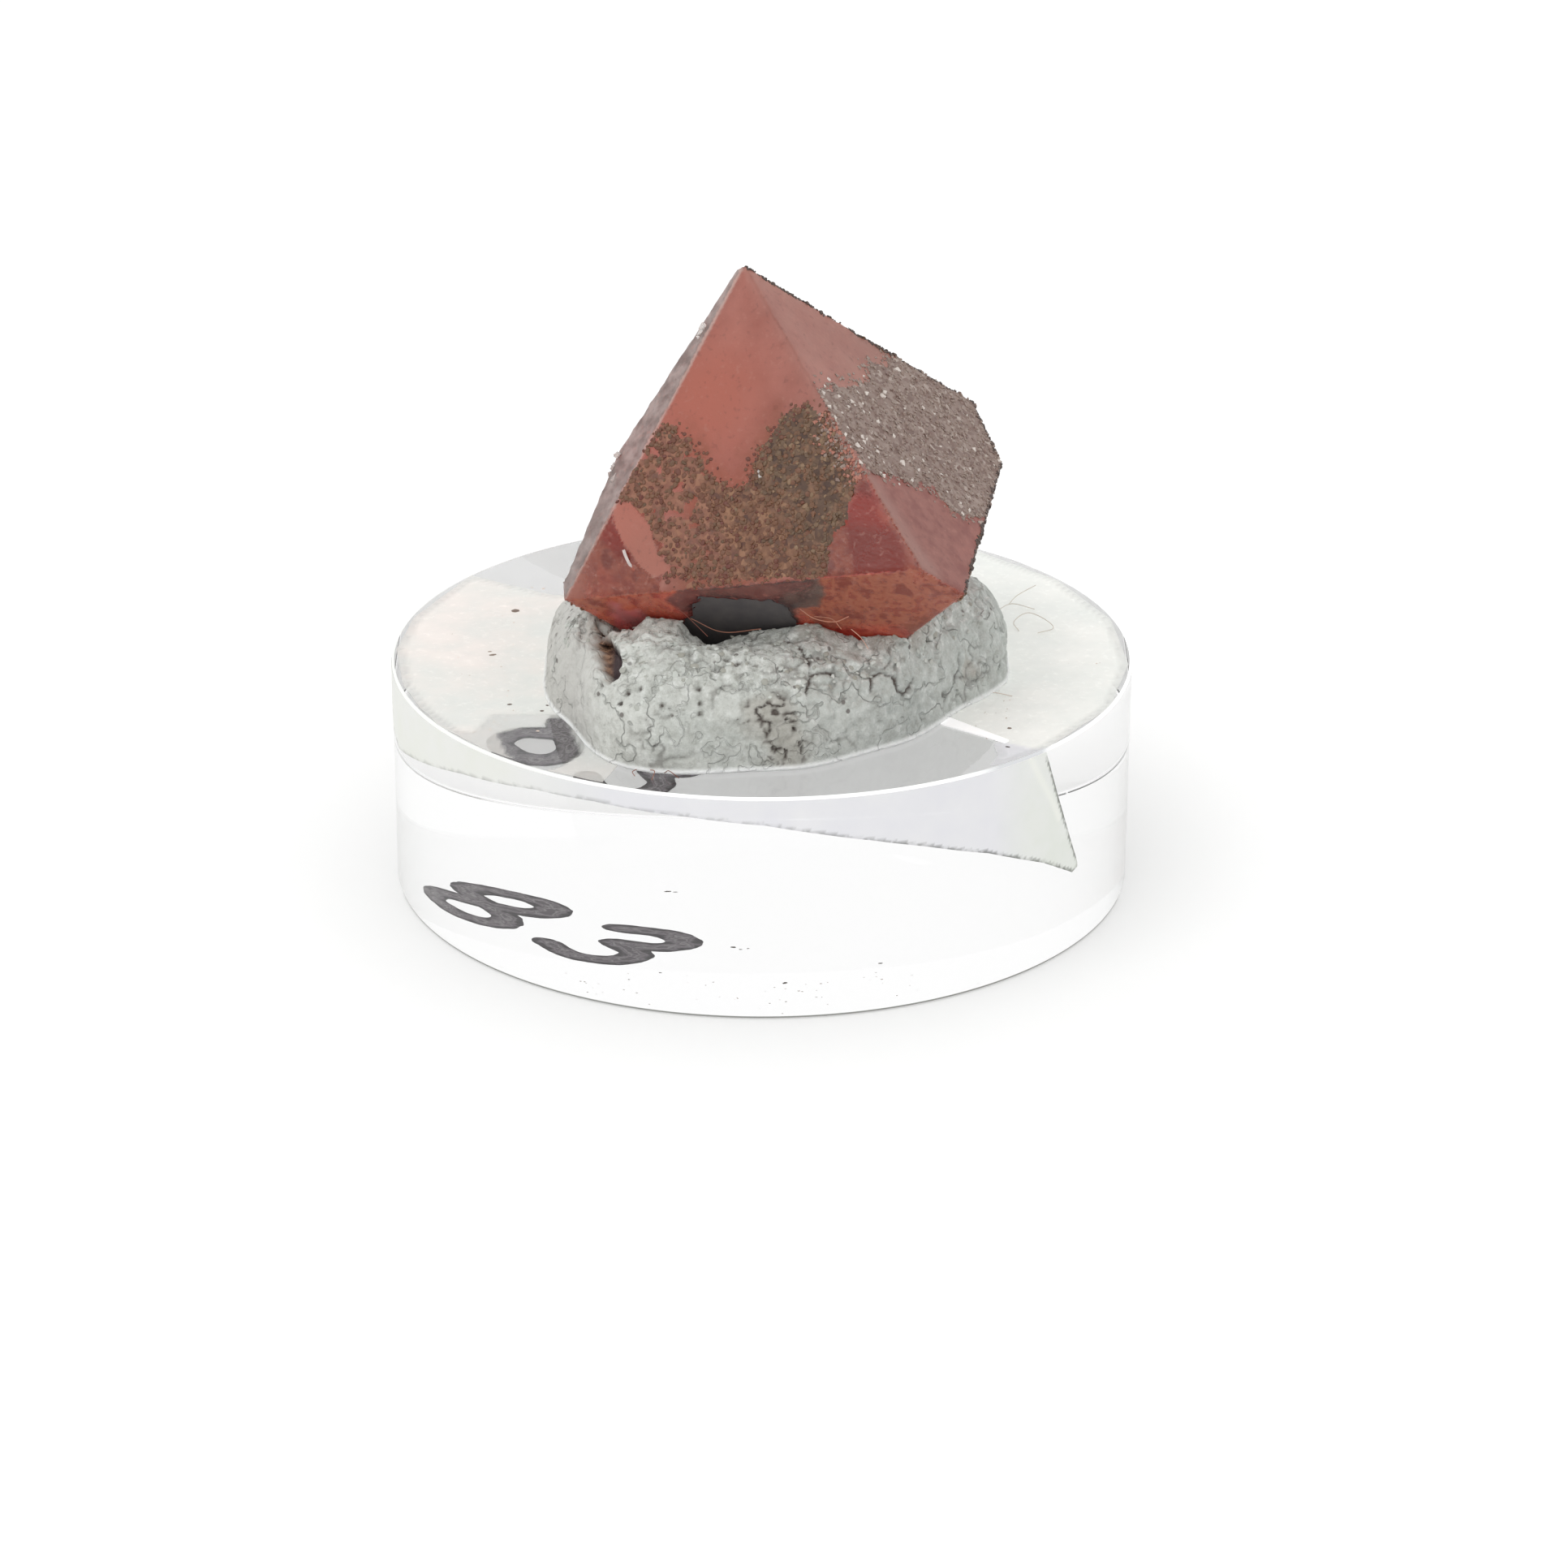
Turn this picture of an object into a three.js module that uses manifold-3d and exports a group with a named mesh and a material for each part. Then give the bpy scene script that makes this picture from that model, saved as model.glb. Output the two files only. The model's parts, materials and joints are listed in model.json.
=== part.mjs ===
// A single fluorite octahedron pressed into a lump of mineral tack on a round clear acrylic base.
// Millimetres, +Z up. The origin is the centre of the base's underside.

import * as THREE from "three";
import { mergeVertices } from "three/addons/utils/BufferGeometryUtils.js";
import Module from "manifold-3d";

const wasm = await Module();
wasm.setup();

// Acrylic base: a turned disc with eased edges.
const baseRadius = 16;
const baseThickness = 9.9;
const baseEdgeBevel = 0.15;
const baseSegments = 144;

// Film flap: the clear film under the tack hangs over the base's rim and lies on its wall, let in flush.
const flapOuterRadius = 15.98;
const flapInnerRadius = 15.9;
const flapPocketRadius = 15.85;
const flapPocketMargin = 0.12;
const flapTopHeight = 9.7;
const flapStepDegrees = 3;
// Its outline on the wall: the turn in degrees from -Y towards +X, the lower and the upper edge's height.
const flapOutline = [
  [-88, 9.3, flapTopHeight],
  [-82, 7.2, flapTopHeight],
  [-75, 7, flapTopHeight],
  [-63, 7.7, flapTopHeight],
  [-51, 8.4, flapTopHeight],
  [-35, 9, flapTopHeight],
  [-25, 9.1, flapTopHeight],
  [-10, 8.95, flapTopHeight],
  [1, 8.7, flapTopHeight],
  [9, 8.25, flapTopHeight],
  [17, 7.75, flapTopHeight],
  [25, 7.15, flapTopHeight],
  [36, 6.15, flapTopHeight],
  [47.4, 4.78, flapTopHeight],
  [50.6, 4.3, 7.55],
  [54, 3.78, 5.35],
  [55, 3.6, 4.75],
  [56.5, 3.72, 3.95],
];

// Crystal: octahedron faces stand at right angles to the sums of three crossed axes.
const crystalCentre = new THREE.Vector3(1.5, -2.5, baseThickness + 7.2);
const apexAxis = new THREE.Vector3(-0.205, 0.024, 0.979).normalize();
const frontAxis = new THREE.Vector3(0.45, -0.885, 0.116).normalize();
const rightAxis = new THREE.Vector3().crossVectors(apexAxis, frontAxis).normalize();
const faceDistance = 6.42;
const overgrownFaceDistance = 8.3;
const crystalStock = 40;

// Face signs along the apex, right and front axes.
const octahedronFaces = [
  { signs: [1, -1, 1], distance: faceDistance }, // upper front
  { signs: [1, 1, 1], distance: faceDistance }, // upper right
  { signs: [-1, -1, 1], distance: faceDistance }, // lower front
  { signs: [-1, 1, 1], distance: overgrownFaceDistance }, // lower right, beyond the break
  { signs: [1, 1, -1], distance: faceDistance }, // upper back
  { signs: [-1, -1, -1], distance: faceDistance }, // lower left
  { signs: [-1, 1, -1], distance: faceDistance + 0.5 }, // lower back
];

// The left face is raised to a blunt shoulder, as two flats that share an edge.
const leftShoulderFaces = [
  { normal: new THREE.Vector3(-0.835, 0.215, 0.507), through: new THREE.Vector3(-6.0, -3.8, 20.3) },
  { normal: new THREE.Vector3(-0.925, 0.284, 0.253), through: new THREE.Vector3(-6.0, -3.8, 20.3) },
];
const leftBevelFace = {
  normal: new THREE.Vector3(-0.76, -0.31, 0.571),
  through: new THREE.Vector3(-0.8, -2.2, 28.0),
};

// Broken surfaces, each by an outward normal and a point that it passes through.
const brokenFaces = [
  { normal: new THREE.Vector3(0.88, 0.465, -0.103), through: new THREE.Vector3(9.5, 0.6, 19.7) },
  { normal: new THREE.Vector3(0.933, -0.108, -0.344), through: new THREE.Vector3(10.1, -1.0, 18.7) },
  { normal: new THREE.Vector3(0.05, 0.04, -1), through: new THREE.Vector3(0, -2, baseThickness + 0.9) },
  { normal: new THREE.Vector3(-0.25, 0.94, -0.22), through: new THREE.Vector3(-3.2, 6.6, 16.2) },
  { normal: new THREE.Vector3(0.76, -0.076, -0.646), through: new THREE.Vector3(8.35, -11.6, 17.1) },
];

// Mineral tack: a bun whose outline and lip height change round its middle, in steps of 30 degrees
// from +X, pressed flat on the base and moulded to the crystal with a hair's clearance.
const tackCentre = new THREE.Vector2(0.6, -2.8);
const tackRadii = [9.9, 10.6, 11.1, 10.8, 10.8, 10.4, 9.8, 10.2, 11.9, 10.4, 9.2, 8.6];
const tackLipHeights = [4.8, 3.7, 3.5, 3.5, 3.5, 3.2, 3.8, 5.1, 4.7, 4.6, 4.7, 5.2];
const tackRipple = 0.12;
const tackSegments = 72;
const tackClearance = 0.3;
const tackProfile = [
  [0, 0],
  [0.6, 0],
  [0.975, 0],
  [1, 0.06],
  [0.995, 0.27],
  [0.975, 0.48],
  [0.935, 0.67],
  [0.87, 0.83],
  [0.78, 0.94],
  [0.66, 1],
  [0.5, 0.97],
  [0.25, 0.92],
  [0, 0.9],
];

const materials = {
  fluorite: new THREE.MeshStandardMaterial({ color: 0xaa5a4e, roughness: 0.35, metalness: 0 }),
  tack: new THREE.MeshStandardMaterial({ color: 0xb9c4be, roughness: 0.8, metalness: 0 }),
  acrylic: new THREE.MeshStandardMaterial({ color: 0xf4f7f6, roughness: 0.05, metalness: 0 }),
  film: new THREE.MeshStandardMaterial({ color: 0xe6e7e8, roughness: 0.6, metalness: 0 }),
};

function toSolid(geometry) {
  const bare = geometry.index ? geometry.clone() : mergeVertices(geometry);
  bare.deleteAttribute("normal");
  bare.deleteAttribute("uv");
  const merged = mergeVertices(bare, 1e-5);
  return new wasm.Manifold(new wasm.Mesh({
    numProp: 3,
    vertProperties: new Float32Array(merged.attributes.position.array),
    triVerts: new Uint32Array(merged.index.array),
  }));
}

function toGeometry(solid) {
  const mesh = solid.getMesh();
  const geometry = new THREE.BufferGeometry();
  geometry.setAttribute("position", new THREE.BufferAttribute(new Float32Array(mesh.vertProperties), 3));
  geometry.setIndex(new THREE.BufferAttribute(new Uint32Array(mesh.triVerts), 1));
  geometry.computeVertexNormals();
  return geometry;
}

// Removes whatever lies beyond the plane that faces along the normal.
function cutBeyond(solid, normal, point) {
  const facing = normal.clone().normalize();
  const block = new THREE.BoxGeometry(2 * crystalStock, 2 * crystalStock, 2 * crystalStock);
  const turn = new THREE.Quaternion().setFromUnitVectors(new THREE.Vector3(0, 0, 1), facing);
  const middle = point.clone().addScaledVector(facing, crystalStock);
  block.applyQuaternion(turn);
  block.translate(middle.x, middle.y, middle.z);
  return solid.subtract(toSolid(block));
}

function crystalPlanes() {
  const grown = octahedronFaces.map(({ signs, distance }) => {
    const normal = new THREE.Vector3();
    normal.addScaledVector(apexAxis, signs[0]);
    normal.addScaledVector(rightAxis, signs[1]);
    normal.addScaledVector(frontAxis, signs[2]);
    normal.normalize();
    return { normal, through: crystalCentre.clone().addScaledVector(normal, distance) };
  });
  return [...grown, ...leftShoulderFaces, leftBevelFace, ...brokenFaces];
}

// The crystal, with all its faces moved out by the allowance.
function crystalSolid(allowance) {
  const stock = new THREE.BoxGeometry(crystalStock, crystalStock, crystalStock);
  stock.translate(crystalCentre.x, crystalCentre.y, crystalCentre.z);
  let solid = toSolid(stock);
  for (const { normal, through } of crystalPlanes()) {
    const facing = normal.clone().normalize();
    solid = cutBeyond(solid, facing, through.clone().addScaledVector(facing, allowance));
  }
  return solid;
}

// A smooth closed run of evenly spaced values, read at a turn from 0 to 1.
function valueAround(values, turn) {
  const place = turn * values.length;
  const from = Math.floor(place) % values.length;
  const to = (from + 1) % values.length;
  const share = place - Math.floor(place);
  const eased = share * share * (3 - 2 * share);
  return values[from] * (1 - eased) + values[to] * eased;
}

function tackSolid() {
  const profile = tackProfile.map(([across, up]) => new THREE.Vector2(across, up));
  const bun = new THREE.LatheGeometry(profile, tackSegments);
  bun.rotateX(Math.PI / 2);
  const position = bun.attributes.position;
  for (let i = 0; i < position.count; i += 1) {
    const across = Math.hypot(position.getX(i), position.getY(i));
    const angle = Math.atan2(position.getY(i), position.getX(i));
    const turn = ((angle / (2 * Math.PI)) % 1 + 1) % 1;
    const up = position.getZ(i);
    const ripple = tackRipple * across * up * (Math.sin(5 * angle) + Math.sin(11 * angle + 1));
    const reach = valueAround(tackRadii, turn) * across + ripple;
    position.setXYZ(
      i,
      tackCentre.x + reach * Math.cos(angle),
      tackCentre.y + reach * Math.sin(angle),
      baseThickness + valueAround(tackLipHeights, turn) * up,
    );
  }
  return toSolid(bun).subtract(crystalSolid(tackClearance));
}

// The flap's outline in steps short enough to follow the round wall, moved out by the margin.
function flapStations(margin) {
  const marginDegrees = THREE.MathUtils.radToDeg(margin / baseRadius);
  const stations = [];
  for (let i = 0; i < flapOutline.length - 1; i += 1) {
    const [turn, low, high] = flapOutline[i];
    const [nextTurn, nextLow, nextHigh] = flapOutline[i + 1];
    const steps = Math.ceil((nextTurn - turn) / flapStepDegrees);
    for (let step = 0; step < steps; step += 1) {
      const share = step / steps;
      stations.push([
        turn + (nextTurn - turn) * share,
        low + (nextLow - low) * share - margin,
        high + (nextHigh - high) * share + margin,
      ]);
    }
  }
  const [lastTurn, lastLow, lastHigh] = flapOutline[flapOutline.length - 1];
  stations[0][0] -= marginDegrees;
  stations.push([lastTurn + marginDegrees, lastLow - margin, lastHigh + margin]);
  return stations;
}

// A curved sheet between two radii: each station gives four corners, joined to those of the next.
function flapSolid(innerRadius, outerRadius, margin) {
  const positions = [];
  const faces = [];
  const stations = flapStations(margin);
  for (const [turn, low, high] of stations) {
    const angle = THREE.MathUtils.degToRad(turn);
    const corners = [[innerRadius, low], [outerRadius, low], [outerRadius, high], [innerRadius, high]];
    for (const [radius, height] of corners) {
      positions.push(radius * Math.sin(angle), -radius * Math.cos(angle), height);
    }
  }
  for (let station = 0; station < stations.length - 1; station += 1) {
    for (let corner = 0; corner < 4; corner += 1) {
      const here = station * 4 + corner;
      const beside = station * 4 + (corner + 1) % 4;
      faces.push(here, here + 4, beside + 4);
      faces.push(here, beside + 4, beside);
    }
  }
  const last = (stations.length - 1) * 4;
  faces.push(0, 1, 2, 0, 2, 3);
  faces.push(last + 3, last + 2, last + 1, last + 3, last + 1, last);
  const geometry = new THREE.BufferGeometry();
  geometry.setAttribute("position", new THREE.Float32BufferAttribute(positions, 3));
  geometry.setIndex(faces);
  return toSolid(geometry);
}

function baseSolid() {
  const profile = [
    new THREE.Vector2(0, 0),
    new THREE.Vector2(baseRadius - baseEdgeBevel, 0),
    new THREE.Vector2(baseRadius, baseEdgeBevel),
    new THREE.Vector2(baseRadius, baseThickness - baseEdgeBevel),
    new THREE.Vector2(baseRadius - baseEdgeBevel, baseThickness),
    new THREE.Vector2(0, baseThickness),
  ];
  const disc = new THREE.LatheGeometry(profile, baseSegments);
  disc.rotateX(Math.PI / 2);
  return toSolid(disc).subtract(flapSolid(flapPocketRadius, baseRadius + 1, flapPocketMargin));
}

function namedMesh(name, solid, material) {
  const mesh = new THREE.Mesh(toGeometry(solid), material);
  mesh.name = name;
  return mesh;
}

const specimen = new THREE.Group();
specimen.add(namedMesh("fluorite_crystal", crystalSolid(0), materials.fluorite));
specimen.add(namedMesh("mineral_tack", tackSolid(), materials.tack));
specimen.add(namedMesh("acrylic_base", baseSolid(), materials.acrylic));
specimen.add(namedMesh("film_flap", flapSolid(flapInnerRadius, flapOuterRadius, 0), materials.film));

export default specimen;
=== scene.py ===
import json
import math

import bmesh
import bpy
import numpy as np
from mathutils import Euler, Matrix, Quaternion, Vector

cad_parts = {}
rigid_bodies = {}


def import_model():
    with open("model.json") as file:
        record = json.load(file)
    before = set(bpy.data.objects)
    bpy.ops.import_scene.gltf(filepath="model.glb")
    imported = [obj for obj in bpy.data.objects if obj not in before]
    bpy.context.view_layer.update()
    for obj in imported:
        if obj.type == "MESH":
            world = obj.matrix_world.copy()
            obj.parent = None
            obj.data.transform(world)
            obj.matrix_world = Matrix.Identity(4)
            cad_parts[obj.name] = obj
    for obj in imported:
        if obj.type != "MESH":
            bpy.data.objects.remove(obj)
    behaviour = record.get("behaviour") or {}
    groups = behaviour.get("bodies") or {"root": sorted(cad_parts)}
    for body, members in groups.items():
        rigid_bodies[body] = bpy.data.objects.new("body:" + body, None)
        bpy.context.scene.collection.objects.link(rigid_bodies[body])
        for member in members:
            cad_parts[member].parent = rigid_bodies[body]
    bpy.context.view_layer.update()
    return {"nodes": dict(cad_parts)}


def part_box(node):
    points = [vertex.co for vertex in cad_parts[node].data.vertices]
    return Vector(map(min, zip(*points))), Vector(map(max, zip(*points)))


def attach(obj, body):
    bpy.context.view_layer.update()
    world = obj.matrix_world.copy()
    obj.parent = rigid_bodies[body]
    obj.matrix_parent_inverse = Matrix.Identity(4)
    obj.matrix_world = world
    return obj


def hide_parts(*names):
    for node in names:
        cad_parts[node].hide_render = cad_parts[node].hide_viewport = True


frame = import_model()
nodes = frame["nodes"]
mm = 0.001
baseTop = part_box("acrylic_base")[1].z / mm  # the tack and the residue sit on this height
chance = np.random.default_rng(11)


# Selecting, measuring and finishing pieces

def selectOnly(*pieces):
    for thing in bpy.context.view_layer.objects:
        thing.select_set(False)
    for piece in pieces:
        piece.select_set(True)
    bpy.context.view_layer.objects.active = pieces[0]


def readVectors(piece, kind):
    flat = np.empty(len(piece.data.vertices) * 3, np.float32)
    piece.data.vertices.foreach_get(kind, flat)
    return flat.reshape(-1, 3).astype(float)


def readPoints(piece):
    return readVectors(piece, "co") / mm


def writePoints(piece, points):
    piece.data.vertices.foreach_set("co", (points * mm).astype(np.float32).ravel())
    piece.data.update()


def writeMask(piece, name, values):
    layer = piece.data.attributes.new(name, "FLOAT", "POINT")
    layer.data.foreach_set("value", np.asarray(values, np.float32))


def faceMeans(piece, values):  # mean of a point value over each face's corners
    counts = np.empty(len(piece.data.polygons), np.int32)
    piece.data.polygons.foreach_get("loop_total", counts)
    corners = np.empty(len(piece.data.loops), np.int32)
    piece.data.loops.foreach_get("vertex_index", corners)
    starts = np.concatenate([[0], np.cumsum(counts)[:-1]])
    return np.add.reduceat(values[corners], starts) / counts


def copyOfNode(nodeName, pieceName):
    piece = nodes[nodeName].copy()
    piece.data = nodes[nodeName].data.copy()
    for key in list(piece.keys()):
        del piece[key]
    piece.name = pieceName
    piece.data.name = pieceName
    piece.parent = None
    bpy.context.scene.collection.objects.link(piece)
    piece.data.materials.clear()
    selectOnly(piece)
    bpy.ops.object.mode_set(mode="EDIT")
    bpy.ops.mesh.select_all(action="SELECT")
    bpy.ops.mesh.remove_doubles(threshold=0.00001)
    bpy.ops.object.mode_set(mode="OBJECT")
    return piece


def applyModifier(piece, kind, **settings):
    selectOnly(piece)
    modifier = piece.modifiers.new(kind.lower(), kind)
    for key, value in settings.items():
        setattr(modifier, key, value)
    bpy.ops.object.modifier_apply(modifier=modifier.name)


def meshPiece(name, points, faces, smooth=False):
    mesh = bpy.data.meshes.new(name)
    mesh.from_pydata([tuple(point * mm) for point in points], [], faces)
    mesh.update()
    piece = bpy.data.objects.new(name, mesh)
    bpy.context.scene.collection.objects.link(piece)
    if smooth:
        mesh.shade_smooth()
    return piece


def smoothPath(path, steps):  # points along a smooth curve through the path
    corners = np.array(path, float)
    ends = np.vstack([2 * corners[0] - corners[1], corners, 2 * corners[-1] - corners[-2]])
    made = []
    for before, start, end, after in zip(ends[:-3], ends[1:-2], ends[2:-1], ends[3:]):
        for share in np.arange(steps) / steps:
            made.append(0.5 * (2 * start + (end - before) * share
                               + (2 * before - 5 * start + 4 * end - after) * share ** 2
                               + (3 * start - before - 3 * end + after) * share ** 3))
    return np.array(made + [corners[-1]])


# A thin closed sheet wherever depth is above 0, its rim drawn onto the line where depth is 0
def flatSheet(name, low, high, step, depth, bottom, top):
    across = np.arange(low[0], high[0] + step, step)
    along = np.arange(low[1], high[1] + step, step)
    grid = np.stack(np.meshgrid(across, along, indexing="ij"), axis=-1).reshape(-1, 2)
    depths = depth(grid)
    slopes = np.stack([depth(grid + [0.02, 0]) - depths, depth(grid + [0, 0.02]) - depths], axis=1) / 0.02
    near = np.abs(depths) < 0.9 * step
    shift = (-depths / np.maximum((slopes ** 2).sum(axis=1), 0.3))[:, None] * slopes
    moved = grid + np.where(near[:, None], np.clip(shift, -0.6 * step, 0.6 * step), 0)
    middles = depth(grid + step / 2)
    rows = len(along)
    numbers = {}
    faces = []
    for i in range(len(across) - 1):
        for j in range(rows - 1):
            if middles[i * rows + j] > 0:
                square = (i * rows + j, (i + 1) * rows + j, (i + 1) * rows + j + 1, i * rows + j + 1)
                faces.append([numbers.setdefault(corner, len(numbers)) for corner in square])
    kept = moved[list(numbers)]
    count = len(kept)
    edges = {}
    for face in faces:
        for start, end in zip(face, face[1:] + face[:1]):
            edges[(start, end)] = True
    walls = [[start + count, end + count, end, start] for start, end in edges if (end, start) not in edges]
    points = np.vstack([np.column_stack([kept, np.full(count, height)]) for height in (top, bottom)])
    under = [[corner + count for corner in reversed(face)] for face in faces]
    sheet = meshPiece(name, points, faces + under + [wall[::-1] for wall in walls])
    writeMask(sheet, "depth", np.tile(depth(kept), 2))
    return sheet


# One joined mesh of small lumps, each with its own turn, size and shade
def grains(name, places, facings, sizes, shades, squash, sides):
    if sides == 8:
        corners = np.array([(1, 0, 0), (-1, 0, 0), (0, 1, 0), (0, -1, 0), (0, 0, 1), (0, 0, -1)], float)
        faces = np.array([(0, 2, 4), (2, 1, 4), (1, 3, 4), (3, 0, 4), (2, 0, 5), (1, 2, 5), (3, 1, 5),
                          (0, 3, 5)])
    else:
        lump = bmesh.new()
        bmesh.ops.create_icosphere(lump, subdivisions=1, radius=1)
        corners = np.array([vertex.co for vertex in lump.verts])
        faces = np.array([[vertex.index for vertex in face.verts] for face in lump.faces])
        lump.free()
    count = len(places)
    turns = chance.normal(size=(count, 4))
    w, x, y, z = (turns / np.linalg.norm(turns, axis=1, keepdims=True)).T
    spins = np.stack([1 - 2 * (y * y + z * z), 2 * (x * y - z * w), 2 * (x * z + y * w),
                      2 * (x * y + z * w), 1 - 2 * (x * x + z * z), 2 * (y * z - x * w),
                      2 * (x * z - y * w), 2 * (y * z + x * w), 1 - 2 * (x * x + y * y)], axis=1)
    spins = spins.reshape(-1, 3, 3)
    stretch = chance.uniform(0.55, 1.45, (count, 1, 3))
    offsets = np.einsum("nij,nkj->nki", spins, corners[None] * stretch) * sizes[:, None, None]
    inward = np.einsum("nki,ni->nk", offsets, facings)
    offsets -= squash * inward[:, :, None] * facings[:, None, :]
    points = (places[:, None, :] + offsets).reshape(-1, 3)
    joined = (faces[None] + (np.arange(count) * len(corners))[:, None, None]).reshape(-1, 3)
    piece = meshPiece(name, points, joined.tolist())
    writeMask(piece, "shade", np.repeat(shades, len(corners)))
    return piece


# Thin round hairs joined in one mesh, each path with its thickness and shade
def threads(name, paths):
    points, faces, shades = [], [], []
    for path, thickness, shade in paths:
        line = smoothPath(path, 6)
        first = len(points)
        for number, middle in enumerate(line):
            ahead = line[min(number + 1, len(line) - 1)] - line[max(number - 1, 0)]
            ahead /= np.linalg.norm(ahead)
            sideways = np.cross(ahead, (0.3, 0.2, 0.93))
            sideways /= np.linalg.norm(sideways)
            upward = np.cross(sideways, ahead)
            for corner in range(5):
                angle = 2 * math.pi * corner / 5
                spoke = math.cos(angle) * sideways + math.sin(angle) * upward
                points.append(middle + thickness / 2 * spoke)
                shades.append(shade)
        for ring in range(len(line) - 1):
            for corner in range(5):
                a, b = first + ring * 5 + corner, first + ring * 5 + (corner + 1) % 5
                faces.append([a, a + 5, b + 5, b])
        faces.append([first + corner for corner in range(5)])
        last = first + (len(line) - 1) * 5
        faces.append([last + corner for corner in reversed(range(5))])
    piece = meshPiece(name, np.array(points), faces)
    writeMask(piece, "shade", shades)
    return piece


def settle(piece, materials, slotName, *standsFor):
    for material in materials:
        piece.data.materials.append(material)
    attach(piece, "root")
    if standsFor:
        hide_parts(*standsFor)


# Irregularity: smooth noise and outlines, in millimetres

# Smooth noise from -1 to 1 over points, with lumps of about that size
def cloud(points, size, seed, octaves=1):
    total = np.zeros(len(points))
    weight = 1.0
    for octave in range(octaves):
        place = points / size * 2 ** octave + 31.7 * seed + 11.3 * octave
        cell = np.floor(place).astype(np.int64)
        share = place - cell
        share = share * share * (3 - 2 * share)
        mixed = np.zeros(len(points))
        for corner in range(8):
            step = np.array([corner & 1, corner >> 1 & 1, corner >> 2 & 1])
            key = cell + step
            mess = key[:, 0] * 374761393 + key[:, 1] * 668265263 + key[:, 2] * 2147483647 + seed * 1442695041
            mess = (mess ^ (mess >> 13)) * 1274126177
            mess = mess ^ (mess >> 16)
            value = (mess & 0xFFFF) / 32767.5 - 1
            part = np.prod(np.where(step == 1, share, 1 - share), axis=1)
            mixed += value * part
        total += mixed * weight
        weight *= 0.5
    return total


def flatCloud(places, *settings):
    return cloud(np.column_stack([places, np.zeros(len(places))]), *settings)


def rise(values, low, high):
    share = np.clip((values - low) / (high - low), 0, 1)
    return share * share * (3 - 2 * share)


def distanceToPath(points, path):
    corners = np.array(path, float)
    nearest = np.full(len(points), 1e9)
    for start, end in zip(corners[:-1], corners[1:]):
        along = end - start
        share = np.clip(((points - start) @ along) / (along @ along), 0, 1)
        nearest = np.minimum(nearest, np.linalg.norm(points - start - share[:, None] * along, axis=1))
    return nearest


def depthInside(places, outline):  # distance of flat places from the outline, positive inside it
    corners = np.array([*outline, outline[0]], float)
    inside = np.zeros(len(places), bool)
    for (startX, startY), (endX, endY) in zip(corners[:-1], corners[1:]):
        spans = (startY > places[:, 1]) != (endY > places[:, 1])
        slope = (endX - startX) / ((endY - startY) or 1e-9)
        inside ^= spans & (places[:, 0] < startX + (places[:, 1] - startY) * slope)
    nearest = distanceToPath(places, corners)
    return np.where(inside, nearest, -nearest)


# Material building: these helpers add to the material or group that is being made

def colour(red, green, blue):  # a screen colour from 0 to 255 as the linear values that shaders use
    linear = []
    for value in (red, green, blue):
        value /= 255
        linear.append(value / 12.92 if value <= 0.04045 else ((value + 0.055) / 1.055) ** 2.4)
    return (*linear, 1.0)


def plug(value, socket):  # value is a node's output, a number or a screen colour
    if isinstance(value, bpy.types.NodeSocket):
        tree.links.new(value, socket)
    elif isinstance(value, tuple) and len(value) == 3:
        socket.default_value = colour(*value)
    else:
        socket.default_value = value


def addNode(kind, inputs=None, **settings):
    made = tree.nodes.new(kind)
    for key, value in settings.items():
        setattr(made, key, value)
    for key, value in (inputs or {}).items():
        plug(value, made.inputs[key])
    return made


def newMaterial(name, values):
    global tree, shader, place
    material = bpy.data.materials.new(name)
    material.use_nodes = True
    tree = material.node_tree
    shader = tree.nodes["Principled BSDF"]
    place = addNode("ShaderNodeTexCoord").outputs["Object"]
    for key, value in values.items():
        plug(value, shader.inputs[key])
    return material


def feed(value, name):
    plug(value, shader.inputs[name])


def shadedMaterial(name, values, stops):  # its colour follows the shade of each lump or hair
    material = newMaterial(name, values)
    feed(ramp(maskOf("shade"), stops), "Base Color")
    return material


def noiseOf(scale, detail=3.0, roughness=0.55):
    inputs = {"Vector": place, "Scale": scale, "Detail": detail, "Roughness": roughness}
    return addNode("ShaderNodeTexNoise", inputs).outputs["Fac"]


def ramp(factor, stops):  # each stop is a place on the ramp and a screen colour
    made = addNode("ShaderNodeValToRGB", {"Fac": factor})
    band = made.color_ramp
    while len(band.elements) > 1:
        band.elements.remove(band.elements[-1])
    band.elements[0].position = stops[0][0]
    for position, *_ in stops[1:]:
        band.elements.new(position)
    for element, (_, *tone) in zip(band.elements, stops):
        element.color = colour(*tone)
    return made.outputs["Color"]


def level(value, low, high, outLow=0.0, outHigh=1.0):
    inputs = {"Value": value, "From Min": low, "From Max": high, "To Min": outLow, "To Max": outHigh}
    return addNode("ShaderNodeMapRange", inputs).outputs["Result"]


def blend(factor, first, second):
    made = addNode("ShaderNodeMix", data_type="RGBA")
    for number, value in ((0, factor), (6, first), (7, second)):
        plug(value, made.inputs[number])
    return made.outputs[2]


def layered(tone, *layers):  # each layer is a mask or its name, the tone it lays on, and how strongly
    for mask, above, *strength in layers:
        mask = maskOf(mask) if isinstance(mask, str) else mask
        tone = blend(product(mask, *strength), tone, above)
    return tone


def reckon(operation, *values):
    made = addNode("ShaderNodeMath", operation=operation)
    for value, socket in zip(values, made.inputs):
        plug(value, socket)
    return made.outputs[0]


def product(*values):
    total = values[0]
    for value in values[1:]:
        total = reckon("MULTIPLY", total, value)
    return total


def maskOf(name):
    return addNode("ShaderNodeAttribute", attribute_name=name).outputs["Fac"]


def acrossOf():
    return addNode("ShaderNodeSeparateXYZ", {"Vector": place}).outputs["X"]


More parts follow.
